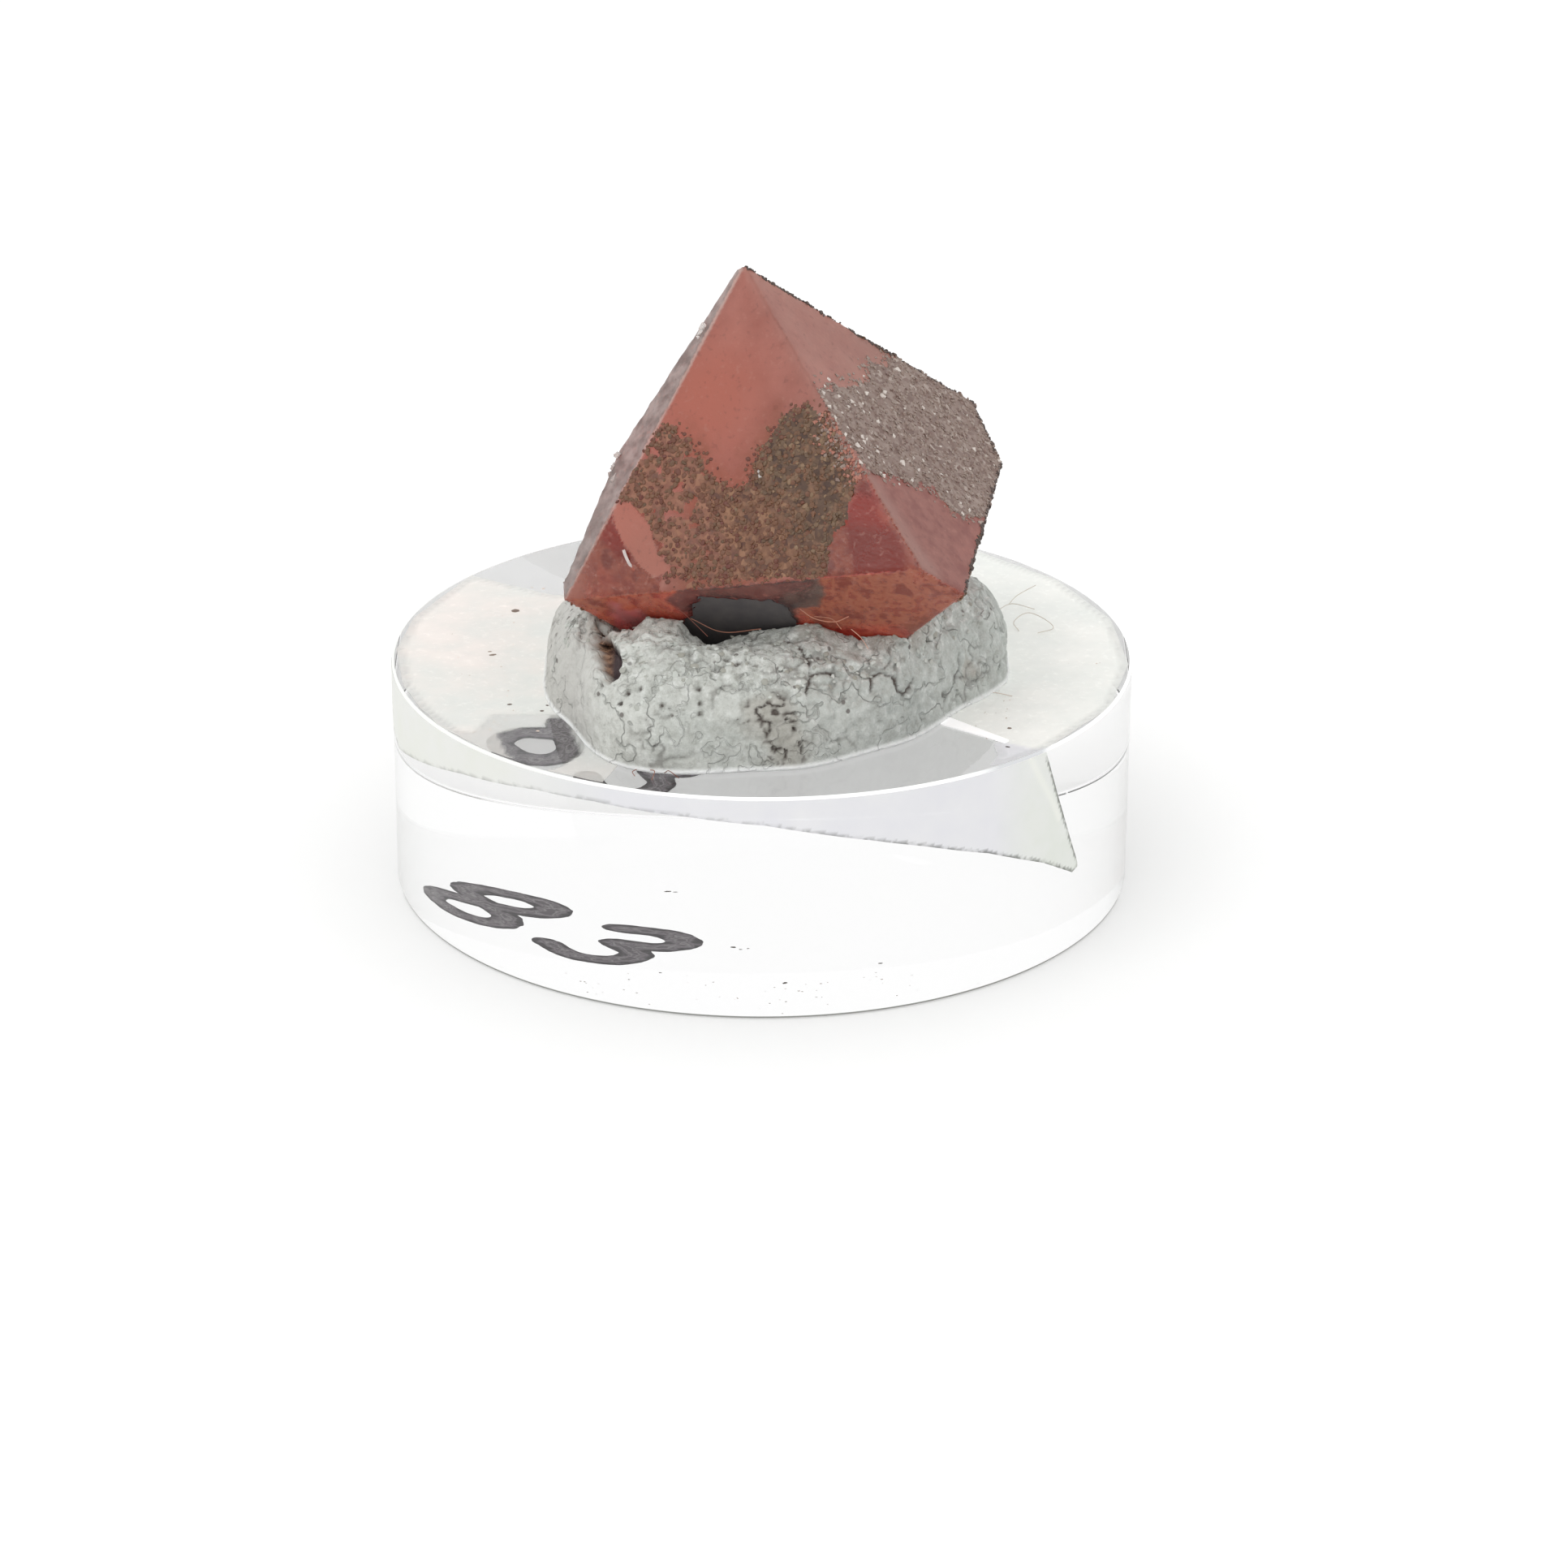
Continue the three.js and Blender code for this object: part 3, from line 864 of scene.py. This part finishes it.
feed(tint, "Base Color")
feed(level(maskOf("window"), 0.0, 1.0, 0.5, 0.14), "Roughness")
feed(bumpOf(fine, 0.25, 0.00004), "Normal")
absorb = addNode("ShaderNodeVolumeAbsorption",
                 {"Color": gem["absorbColour"], "Density": gem["absorbDensity"]})
tree.links.new(absorb.outputs["Volume"], tree.nodes["Material Output"].inputs["Volume"])

crust = newMaterial("granularCrust", {"Roughness": 0.55})
patches = {"scale": 1300.0, "detail": 4.0, "roughness": 0.65}
grit = addNode("ShaderNodeTexVoronoi", {"Vector": place, "Scale": 4200.0})
gritTone = addNode("ShaderNodeSeparateColor", {"Color": grit.outputs["Color"]}).outputs["Red"]
olive = ramp(gritTone, [(0.0, 60, 37, 26), (0.4, 81, 57, 41), (0.8, 94, 70, 51), (1.0, 114, 88, 67)])
russet = ramp(gritTone, [(0.0, 74, 40, 27), (0.4, 105, 68, 47), (0.8, 120, 82, 58), (1.0, 141, 103, 77)])
brown = layered(
    russet, ("coatLobe", olive), ("leftLobe", blend(0.5, russet, (150, 96, 78))),
    (specks(low=0.52, high=0.66, atHigh=0.6, **patches), (74, 50, 40)),
    (specks(low=0.48, high=0.34, atHigh=0.5, **patches), (150, 108, 80)))
grey = layered(
    ramp(gritTone, [(0.0, 112, 90, 82), (0.4, 132, 112, 103), (0.9, 146, 128, 119), (1.0, 174, 160, 151)]),
    (specks(low=0.5, high=0.7, atHigh=0.5, **patches), (112, 84, 76)))
feed(blend(maskOf("sparkle"), brown, grey), "Base Color")
feed(bumpOf(gritTone, 0.5, 0.00005), "Normal")

# The sunken gap under the crystal: dark grey, a painted shadow.
hollowShade = newMaterial("paintedHollowShadow", {"Roughness": 0.8})
feed(ramp(noiseOf(1500.0), [(0.35, 80, 76, 77), (0.7, 92, 87, 86)]), "Base Color")

settle(crystal, [fluorite, crust, hollowShade], "fluorite", "fluorite_crystal")
covered = faceMeans(crystal, np.maximum(coat, sparkle))
sunken = faceMeans(crystal, gap)
slots = np.where(sunken > 0.5, 2, np.where(covered > 0.5, 1, 0))
crystal.data.polygons.foreach_set("material_index", slots.astype(np.int32))
crystal.data.shade_smooth()

# Grains standing on the crystal: dull brown ones on the front, glinting ones on the right
coating = {
    "front": 1250, "stray": 240, "back": 1300, "rim": 560, "right": 1900, "ridge": 180,
    "brownSizes": ((0.06, 0.13), (0.05, 0.1), (0.06, 0.13), (0.04, 0.085)),
    "glintSizes": (0.05, 0.12),
    "brownSquash": 0.45,
    "glintSquash": 0.35,
}


def pickSpots(weights, count):
    return chance.choice(len(points), count, replace=False, p=weights / weights.sum())


inCoat = onFront * rise(coatDepth + ragged, -0.3, 0.1) * (coat > 0.3) * (1 - strip)
nearCoat = onFront * rise(-np.abs(coatDepth), -0.55, 0.0) * (1 - strip) * (1 - window)
frontSpots = pickSpots(inCoat, coating["front"])
straySpots = pickSpots(nearCoat, coating["stray"])
backSpots = pickSpots(onBack * (backCoat + 0.15 * rise(cloud(points, 4.0, 7, 3), -0.3, 0.0)), coating["back"])
# dark grey grains on the silhouette line: painted shade
silhouetteShadeSpots = pickSpots(silhouetteShade + 1e-9, coating["rim"])
brownSpots = (frontSpots, straySpots, backSpots, silhouetteShadeSpots)
spots = np.concatenate(brownSpots)
lobe = rise(frontPlace[spots, 0] + 0.8 * frontPlace[spots, 1], 10.5, 13.5)
shades = np.clip(0.4 + 0.24 * lobe + chance.normal(0, 0.15, len(spots)), 0, 0.88)
shades[len(frontSpots):len(frontSpots) + len(straySpots)] = chance.uniform(0.05, 0.5, len(straySpots))
shades[-len(silhouetteShadeSpots):] = chance.uniform(0.9, 1.0, len(silhouetteShadeSpots))
sizes = np.concatenate([chance.uniform(low, high, len(some))
                        for some, (low, high) in zip(brownSpots, coating["brownSizes"])])
brownGrains = grains("brownGrains", points[spots], normals[spots], sizes, shades, coating["brownSquash"], 20)
# its two darkest stops colour the grains of the painted silhouette shade
dull = shadedMaterial("brownGrain", {"Roughness": 0.45}, [
    (0.0, 96, 42, 34), (0.25, 99, 57, 40), (0.5, 112, 76, 53), (0.7, 88, 66, 47), (0.88, 130, 103, 78),
    (0.91, 84, 68, 62), (1.0, 66, 54, 50)])
settle(brownGrains, [dull], "fluorite")

rightSpots = pickSpots(onRight * rise(sparkleDepth + 1.5 * ragged, -0.7, 0.1), coating["right"])
shades = np.clip(chance.normal(0.5, 0.17, len(rightSpots)), 0.1, 0.9)
# a few pale grains, mostly near the ridge: pale flecks that also serve as painted glints
highlighted = chance.random(len(rightSpots)) < 0.01 + 0.07 * rise(-rightPlace[rightSpots, 1], -6.0, -1.5)
shades[highlighted] = 1.0
sizes = chance.uniform(*coating["glintSizes"], len(rightSpots)) * np.where(highlighted, 1.35, 1.0)
ridge = onFront * (neighbour == upperRight) * rise(-toEdge, -1.3, -0.2)
ridgeSpots = pickSpots(ridge * (rightPlace[:, 0] > 4.8) * (rightPlace[:, 0] < 8.2), coating["ridge"])
shades = np.concatenate([shades, chance.choice([0.0, 0.0, 0.3, 0.6], len(ridgeSpots))])
sizes = np.concatenate([sizes, chance.uniform(*coating["glintSizes"], len(ridgeSpots))])
rightSpots = np.concatenate([rightSpots, ridgeSpots])
glints = grains("glintingGrains", points[rightSpots], normals[rightSpots], sizes, shades,
                coating["glintSquash"], 8)
glinting = shadedMaterial("glintingGrain", {"Roughness": 0.35}, [
    (0.05, 164, 108, 92), (0.08, 112, 86, 78), (0.4, 134, 113, 103), (0.75, 148, 131, 121),
    (0.95, 172, 158, 148), (1.0, 206, 196, 188)])
settle(glints, [glinting], "fluorite")

# Small clear crystals on the left shoulder, and white chip grains and a thin white thread that are painted
# glints
cluster = {
    "middle": (-6.14, -4.1, 19.5),
    "spread": (0.05, 0.24, 0.28),
    "count": 14,
    "sizes": (0.16, 0.3),
    "squash": 0.2,
    "glintChips": [(-2.44, -2.88, 25.5), (-2.54, -2.95, 25.3), (-2.64, -3.02, 25.1), (-0.05, -7.68, 20.68),
              (-0.12, -7.55, 20.85)],
    "glintChipSizes": [0.18, 0.19, 0.14, 0.13, 0.1],
    "glintThread": [(-5.68, -7.62, 17.42), (-5.58, -7.7, 17.15), (-5.42, -7.8, 16.85), (-5.2, -7.93, 16.62)],
    "glintThreadThickness": 0.13,
}
count = cluster["count"]
leftSide = planeNormals[planeFacing(-0.925, 0.284, 0.253)]
places = np.array(cluster["middle"]) + chance.normal(0, 1, (count, 3)) * cluster["spread"]
places = np.vstack([places, cluster["glintChips"]])
facing = np.vstack([np.tile(leftSide, (count, 1)),
                    np.tile(planeNormals[upperFront], (len(cluster["glintChips"]), 1))])
sizes = np.concatenate([chance.uniform(*cluster["sizes"], count), cluster["glintChipSizes"]])
shades = np.concatenate([chance.uniform(0.3, 0.9, count), np.ones(len(cluster["glintChips"]))])
clear = grains("clearCrystals", places, facing, sizes, shades, cluster["squash"], 8)
clearSettings = {"Roughness": 0.15, "Transmission Weight": 0.5, "IOR": gem["ior"]}
clearMaterial = shadedMaterial("clearCrystal", clearSettings, [(0.2, 214, 186, 178), (1.0, 252, 246, 242)])
settle(clear, [clearMaterial], "fluorite")
glintThread = threads("paintedGlintThread", [(cluster["glintThread"], cluster["glintThreadThickness"], 1.0)])
settle(glintThread, [clearMaterial], "fluorite")
print("crystal made", len(crystal.data.polygons))


# Mineral tack

putty = {
    "voxel": 0.11,
    "pits": [(-5.4, -12.3, 12.95), (-5.7, -12.3, 12.5), (-4, -13, 12.7), (-2.5, -12.6, 13.3),
             (-2.45, -13, 12.8), (-2.45, -13.1, 12.4), (-4.9, -12.4, 13.2), (7, -7.7, 13.5),
             (6.7, -8.4, 13.2), (7.7, -7.6, 11), (-1.4, -11.4, 14.1), (-0.9, -11.5, 14.0),
             (-4.4, -12.7, 11.8), (0.3, -12.6, 13.2)],
    "cracks": [
        [(1.6, -10.2, 14.3), (1.95, -10.9, 14.0), (2.1, -11.5, 13.5), (1.9, -12.1, 13.0), (2.0, -12.2, 12.4)],
        [(2.1, -11.5, 13.5), (2.8, -11.2, 13.5), (3.4, -11.0, 13.2)],
        [(4.55, -10.9, 12.5), (4.6, -10.6, 13.0), (4.96, -10.3, 13.1), (5.5, -10.1, 12.75),
         (5.7, -10.2, 12.2), (6.0, -10, 12.0), (6.3, -9.5, 12.3), (6.3, -9.2, 12.7)],
        [(0.0, -12.5, 12.2), (0.5, -12.7, 11.6), (0.3, -13.0, 11.0), (0.9, -13.0, 10.4)],
        [(1.0, -12.4, 12.0), (1.4, -12.6, 11.3), (1.2, -12.9, 10.8), (1.8, -12.7, 10.3)],
        [(0.4, -12.8, 11.2), (1.2, -12.7, 11.5), (2.1, -12.3, 11.0), (2.3, -12.4, 10.3)],
        [(-0.3, -13.1, 10.6), (0.4, -13.0, 11.1)],
        [(-7.6, -9.6, 12.6), (-6.8, -10.8, 12.9), (-6.2, -11.4, 12.6)],
    ],
    "hole": [(-6.7, -7.3), (-6.55, -8.6), (-6.35, -9.9), (-6.1, -11.0)],
    "crumbs": 650,
    "crumbSizes": (0.04, 0.16),
    "crumbSquash": 0.65,
    # how far the surface stands out or in
    "swells": 0.12, "knobs": 0.07, "furrows": 0.13, "folds": 0.09, "cracksDepth": 0.16, "pitsDepth": 0.18,
    "holeDepth": 0.75, "creases": 0.14, "foot": 0.26, "gap": 0.03,
    "corner": (8.3, -10.6),
    "rough": [(0.3, -12.5, 12.0), (1.2, -12.7, 10.8)],
    "spot": (8.9, -5.75, 11.45),
}
tack = copyOfNode("mineral_tack", "mineralTack")
applyModifier(tack, "REMESH", mode="VOXEL", voxel_size=putty["voxel"] * mm)
points = readPoints(tack)
normals = readVectors(tack, "normal")

# The pocket closes on the crystal, and its front lip rises and falls
clearance = (points @ planeNormals.T - planeOffsets).max(axis=1)
touching = (points[:, 1] < -5) & (clearance < 0.55)
stations = np.arange(-8.0, 8.01, 0.5)
now = np.array([points[touching & (np.abs(points[:, 0] - x) < 0.35), 2].max(initial=13.0) for x in stations])
ratio = (lipHeight(points) - baseTop) / (np.interp(points[:, 0], stations, now) - baseTop)
hold = (1 - rise(clearance, 0.4, 2.6)) * rise(-points[:, 1], 5, 7.5)
hold *= rise(points[:, 0], -8.2, -7.4) * (1 - rise(points[:, 0], 6.8, 7.8))
points[:, 2] = baseTop + (points[:, 2] - baseTop) * (1 + (ratio - 1) * hold)
nearCorner = 1 - rise(np.linalg.norm(points[:, :2] - putty["corner"], axis=1), 0.6, 2.4)
points[:, 2] += 0.7 * nearCorner * rise(points[:, 2], 12.5, 14.5)
reach = points @ planeNormals.T - planeOffsets
clearance = reach.max(axis=1)
wall = planeNormals[np.argmax(reach, axis=1)]
points += wall * np.maximum(putty["gap"] - clearance, 0)[:, None]
close = 1 - rise(clearance, 0.32, 0.9)
points -= wall * (close * (clearance - putty["gap"]) * 0.95)[:, None]

standing = rise(points[:, 2] - baseTop, 0.1, 0.8)
free = rise(clearance, 0.3, 0.8)
crumbly = rise(points[:, 2] + 0.5 * cloud(points, 1.2, 31, 2), 12.6, 13.6)
smoothLeft = 0.6 * rise(-points[:, 0], 0.5, 3.0) * (1 - crumbly)
push = putty["swells"] * cloud(points, 2.8, 21)
push += putty["knobs"] * cloud(points, 0.9, 22, 2) * (1 - 0.5 * smoothLeft)
furrows = np.maximum(0.3 - np.abs(cloud(points, 0.9, 23, 2)), 0) / 0.3
push -= putty["furrows"] * furrows * (1 - 0.7 * smoothLeft)
push += (0.03 + 0.05 * crumbly) * cloud(points, 0.4, 24, 2) * (1 - 0.6 * smoothLeft)
folds = rise(cloud(points, 2.2, 34), -0.2, 0.3) * (1 - rise(np.abs(cloud(points, 0.8, 33, 2)), 0.02, 0.14))
push -= putty["folds"] * folds

crackGap = np.full(len(points), 9.0)
for path in putty["cracks"]:
    crackGap = np.minimum(crackGap, distanceToPath(points, path))
crackGap += 0.04 * cloud(points, 0.3, 25)
push -= putty["cracksDepth"] * (1 - rise(crackGap, 0.02, 0.17))
pitGap = np.min([np.linalg.norm(points - pit, axis=1) for pit in putty["pits"]], axis=0)
push -= putty["pitsDepth"] * (1 - rise(pitGap, 0.04, 0.2))
holeGap = distanceToPath(points[:, :2], putty["hole"]) + 0.12 * cloud(points, 0.5, 26, 2)
holeGap += 2 * (1 - rise(points[:, 2], 12.6, 13.0))
holePush = putty["holeDepth"] * (1 - rise(holeGap, 0.24, 0.5))
roughness = 1 - rise(distanceToPath(points, putty["rough"]) + 0.3 * cloud(points, 0.6, 27), 0.6, 1.4)
creases = 1 - rise(np.abs(cloud(points, 0.55, 28, 2)), 0.03, 0.16)
push -= putty["creases"] * roughness * creases
push = push * standing * np.where(clearance < 0.3, 0.15, 1) * np.maximum(free, 0.15)
points += normals * (push - holePush * standing)[:, None]
outward = points[:, :2] - points[:, :2].mean(axis=0)
outward /= np.maximum(np.linalg.norm(outward, axis=1, keepdims=True), 1)
above = points[:, 2] - baseTop
spread = putty["foot"] * (1 - rise(above, 0.06, 0.3)) * (clearance > 0.8)
points[:, :2] += outward * spread[:, None]
kept = np.maximum(points[:, 2], baseTop)
points[:, 2] = np.where(standing > 0, kept, np.minimum(points[:, 2], baseTop + 0.1))
points[above < 0.02, 2] = baseTop - 0.015
writePoints(tack, points)

# Darker in folds, creases, cracks and pits: painted shade.
dark = np.maximum(0.45 * folds, roughness * creases)
dark = np.maximum.reduce([dark, 1 - rise(crackGap, 0.03, 0.1), 1 - rise(pitGap, 0.05, 0.14)])
lipStain = (1 - rise(clearance, 0.1, 1.1)) * rise(points[:, 2], 12.5, 13.5)
lipStain = lipStain * rise(cloud(points, 1.1, 32, 2), -0.3, 0.5)
spotGap = np.linalg.norm(points - putty["spot"], axis=1) + 0.45 * cloud(points, 0.5, 35, 2)
lipStain = np.maximum(lipStain, 0.7 * (1 - rise(spotGap, 0.1, 0.8)))
tackMasks = {
    "dark": dark, "stain": lipStain, "rough": roughness, "crumbly": crumbly,
    "hole": 1 - rise(holeGap, 0.3, 0.44),
    # a white line along the tack's foot: painted light
    "foot": 1 - rise(points[:, 2] - baseTop, 0.1, 0.3),
    "leftWall": rise(-points[:, 0], 6.2, 7.8),
}
for name, values in tackMasks.items():
    writeMask(tack, name, values)

tackMaterial = newMaterial("mineralTack", {"Roughness": 0.7})
grainy = {"scale": 2400.0, "detail": 4.0, "roughness": 0.7}
wide = noiseOf(380.0, 5.0, 0.6)
across = acrossOf()
contrast = level(maskOf("crumbly"), 0.0, 1.0, 0.4, 0.7)
curls = noiseOf(560.0, 3.0, 0.5)
lines = level(reckon("ABSOLUTE", reckon("SUBTRACT", curls, 0.5)), 0.004, 0.013, 1.0, 0.0)
dots = addNode("ShaderNodeTexVoronoi", {"Vector": place, "Scale": 1900.0})
dotTone = addNode("ShaderNodeSeparateColor", {"Color": dots.outputs["Color"]}).outputs["Green"]
pitShadeMask = product(level(dots.outputs["Distance"], 0.16, 0.24, 1.0, 0.0), level(dotTone, 0.86, 0.88))
# brown inside the hole, darkest on its left side as painted shade
holeShadeTone = ramp(noiseOf(**grainy), [(0.4, 96, 66, 50), (0.6, 168, 132, 106)])
holeShadeTone = blend(level(across, -0.0063, -0.006), holeShadeTone, (60, 44, 46))
shade = layered(
    ramp(wide, [(0.3, 184, 188, 182), (0.5, 197, 199, 193), (0.75, 211, 213, 207)]),
    # darker towards the right and lighter towards the left: painted light and shade
    (level(across, -0.002, 0.006, 0.0, 0.6), (180, 185, 181)),
    (level(across, -0.003, -0.007, 0.0, 0.5), (216, 217, 211)),
    (product(specks(low=0.5, high=0.66, **grainy), contrast), (138, 138, 130)),
    (product(specks(low=0.46, high=0.34, **grainy), contrast), (230, 232, 228)),
    ("leftWall", (196, 194, 189), 0.7),
    # darker wrinkle lines and pits: painted shade
    (product(lines, specks(420.0, 0.48, 0.6), 0.6), (118, 120, 114)),
    (pitShadeMask, (92, 84, 80), 0.8),
    ("stain", (142, 122, 104), 0.6),
    ("rough", (150, 142, 130), 0.5),
    # painted shade in folds, creases, cracks and pits
    ("dark", (78, 68, 62)),
    ("hole", holeShadeTone),
    # painted light along the foot
    ("foot", (252, 253, 252)))
feed(shade, "Base Color")
wrinkles = reckon("SUBTRACT", noiseOf(1800.0, 6.0, 0.7), product(lines, 0.3))
feed(bumpOf(wrinkles, 0.9, 0.0002), "Normal")
tack.data.shade_smooth()
settle(tack, [tackMaterial], "tack", "mineral_tack")

# Crumbs of tack along the lip
places = readPoints(tack)
weights = crumbly * rise(-places[:, 1], 2, 6) * (clearance > 0.05)
weights = weights * rise(normals[:, 2], -0.2, 0.3) * (holeGap > 0.5)
spots = pickSpots(weights, putty["crumbs"])
sizes = chance.uniform(*putty["crumbSizes"], len(spots))
shades = chance.random(len(spots))
lipCrumbs = grains("tackCrumbs", places[spots], normals[spots], sizes, shades, putty["crumbSquash"], 20)
crumbTack = shadedMaterial("tackCrumb", {"Roughness": 0.7}, [
    (0.0, 150, 148, 138), (0.3, 170, 172, 165), (0.7, 184, 187, 181), (1.0, 203, 206, 200)])
settle(lipCrumbs, [crumbTack], "tack")
print("tack made", len(tack.data.polygons))


# Loose fibres and specks left on the lip and the base

fibre = {
    "thickness": 0.035,
    # each path starts at one end; the last number is the shade, from pale to dark red
    "paths": [
        [(-3.9, -7.9, 15.4), (-3.2, -8.3, 14.9), (-2.6, -8.6, 14.4), (-2.2, -8.9, 14.1), 0.8],
        [(-2.9, -8.4, 14.7), (-1.6, -8.9, 14.3), (0.0, -9.3, 14.6), 0.6],
        [(1.6, -9.6, 15.6), (2.2, -9.9, 15.3), (3.0, -10.0, 15.2), (3.6, -9.9, 15.4), 0.35],
        [(2.2, -9.4, 15.2), (2.9, -9.8, 15.25), (3.3, -10.3, 15.0), 0.4],
        [(3.7, -10.3, 15.0), (4.1, -10.5, 14.7), (4.4, -10.7, 14.3), 0.3],
        [(10.9, 5.5, 9.98), (11.3, 6.0, 10.2), (12.1, 6.2, 10.6), 0.1],
        [(10.3, 4.6, 9.98), (11.0, 5.2, 10.1), (12.0, 4.8, 10.0), 0.1],
        [(11.2, 2.3, 9.96), (11.0, 3.0, 10.1), (11.6, 3.6, 10.3), (12.3, 3.2, 10.2), (12.7, 2.3, 10.1),
         (12.0, 2.0, 9.98), 0.12],
        [(-3.9, -13.6, 9.98), (-3.7, -13.9, 10.2), (-3.3, -14.1, 9.97), 0.75],
        [(-4.6, -13.3, 9.98), (-4.3, -13.8, 10.15), (-4.4, -14.3, 9.97), 0.6],
        [(-4.9, -13.1, 9.98), (-5.2, -13.5, 10.0), (-5.1, -13.9, 9.97), 0.65],
        [(9.2, -5.2, 9.96), (9.8, -4.9, 10.0), (10.6, -5.2, 9.97), 0.15],
    ],
}
hairs = threads("fibres", [(path[:-1], fibre["thickness"], path[-1]) for path in fibre["paths"]])
hairMaterial = shadedMaterial("fibre", {"Roughness": 0.6}, [
    (0.1, 210, 203, 192), (0.35, 186, 132, 108), (0.8, 122, 72, 58)])
settle(hairs, [hairMaterial], "tack")

dirt = {
    # place on the base top, spread across and along, how many, shade
    "patches": [((-11.6, -1.0), (1.1, 3.6), 150, 0.25), ((-10.6, 4.4), (0.6, 0.8), 20, 0.3),
                ((10.0, -6.4), (0.75, 0.5), 70, 0.62), ((10.6, -4.9), (0.9, 0.8), 50, 0.5),
                ((14.6, -1.35), (0.8, 0.06), 26, 0.42), ((9.6, -7.9), (0.8, 0.7), 30, 0.5)],
    "reach": 15.6,
    "sizes": (0.03, 0.08),
    "squash": 0.85,
    # fine specks stuck under the base's front
    "scatter": {"middle": (-1.0, -12.6), "spread": (5.5, 1.4), "count": 60, "sizes": (0.02, 0.05)},
    # larger specks under the base, each with its size, and on its top, each with its size and shade
    "below": [(-2.4, 3.45, 0.1), (-2.2, 3.42, 0.07), (-0.9, -5.1, 0.14), (-0.65, -5.45, 0.09),
              (-0.4, -5.3, 0.06), (0.92, -10.6, 0.12), (4.2, -8.0, 0.07), (-3.6, -9.4, 0.06)],
    "single": [(-10.9, 4.6, 0.16, 0.75), (-11.6, -0.6, 0.14, 0.7), (-11.75, -0.25, 0.1, 0.6),
               (-10.6, -6.2, 0.12, 0.85), (-9.2, -6.9, 0.08, 0.85), (-9.0, -6.3, 0.09, 0.9),
               (10.2, -10.6, 0.12, 1.0), (10.35, -8.6, 0.1, 0.75)],
}
places, sizes, shades = [], [], []
for middle, spread, count, shade in dirt["patches"]:
    for x, y in chance.normal(0, 1, (count, 2)) * spread + middle:
        if math.hypot(x, y) < dirt["reach"]:
            places.append((x, y, baseTop + 0.01))
            sizes.append(chance.uniform(*dirt["sizes"]))
            shades.append(shade + chance.uniform(-0.2, 0.2))
for x, y, size, shade in dirt["single"]:
    places.append((x, y, baseTop + 0.02))
    sizes.append(size)
    shades.append(shade)
scatter = dirt["scatter"]
for x, y in chance.normal(0, 1, (scatter["count"], 2)) * scatter["spread"] + scatter["middle"]:
    if math.hypot(x, y) < dirt["reach"]:
        places.append((x, y, 0.02))
        sizes.append(chance.uniform(*scatter["sizes"]))
        shades.append(chance.uniform(0.1, 0.7))
for x, y, size in dirt["below"]:
    places.append((x, y, 0.02))
    sizes.append(size)
    shades.append(0.9)
up = np.tile((0.0, 0.0, 1.0), (len(places), 1))
crumbs = grains("crumbs", np.array(places), up, np.array(sizes), np.array(shades), dirt["squash"], 20)
crumbMaterial = shadedMaterial("crumb", {"Roughness": 0.7}, [
    (0.1, 232, 214, 204), (0.5, 176, 160, 142), (0.75, 122, 104, 92), (1.0, 74, 66, 64)])
settle(crumbs, [crumbMaterial], "tack")
print("fibres and crumbs made")
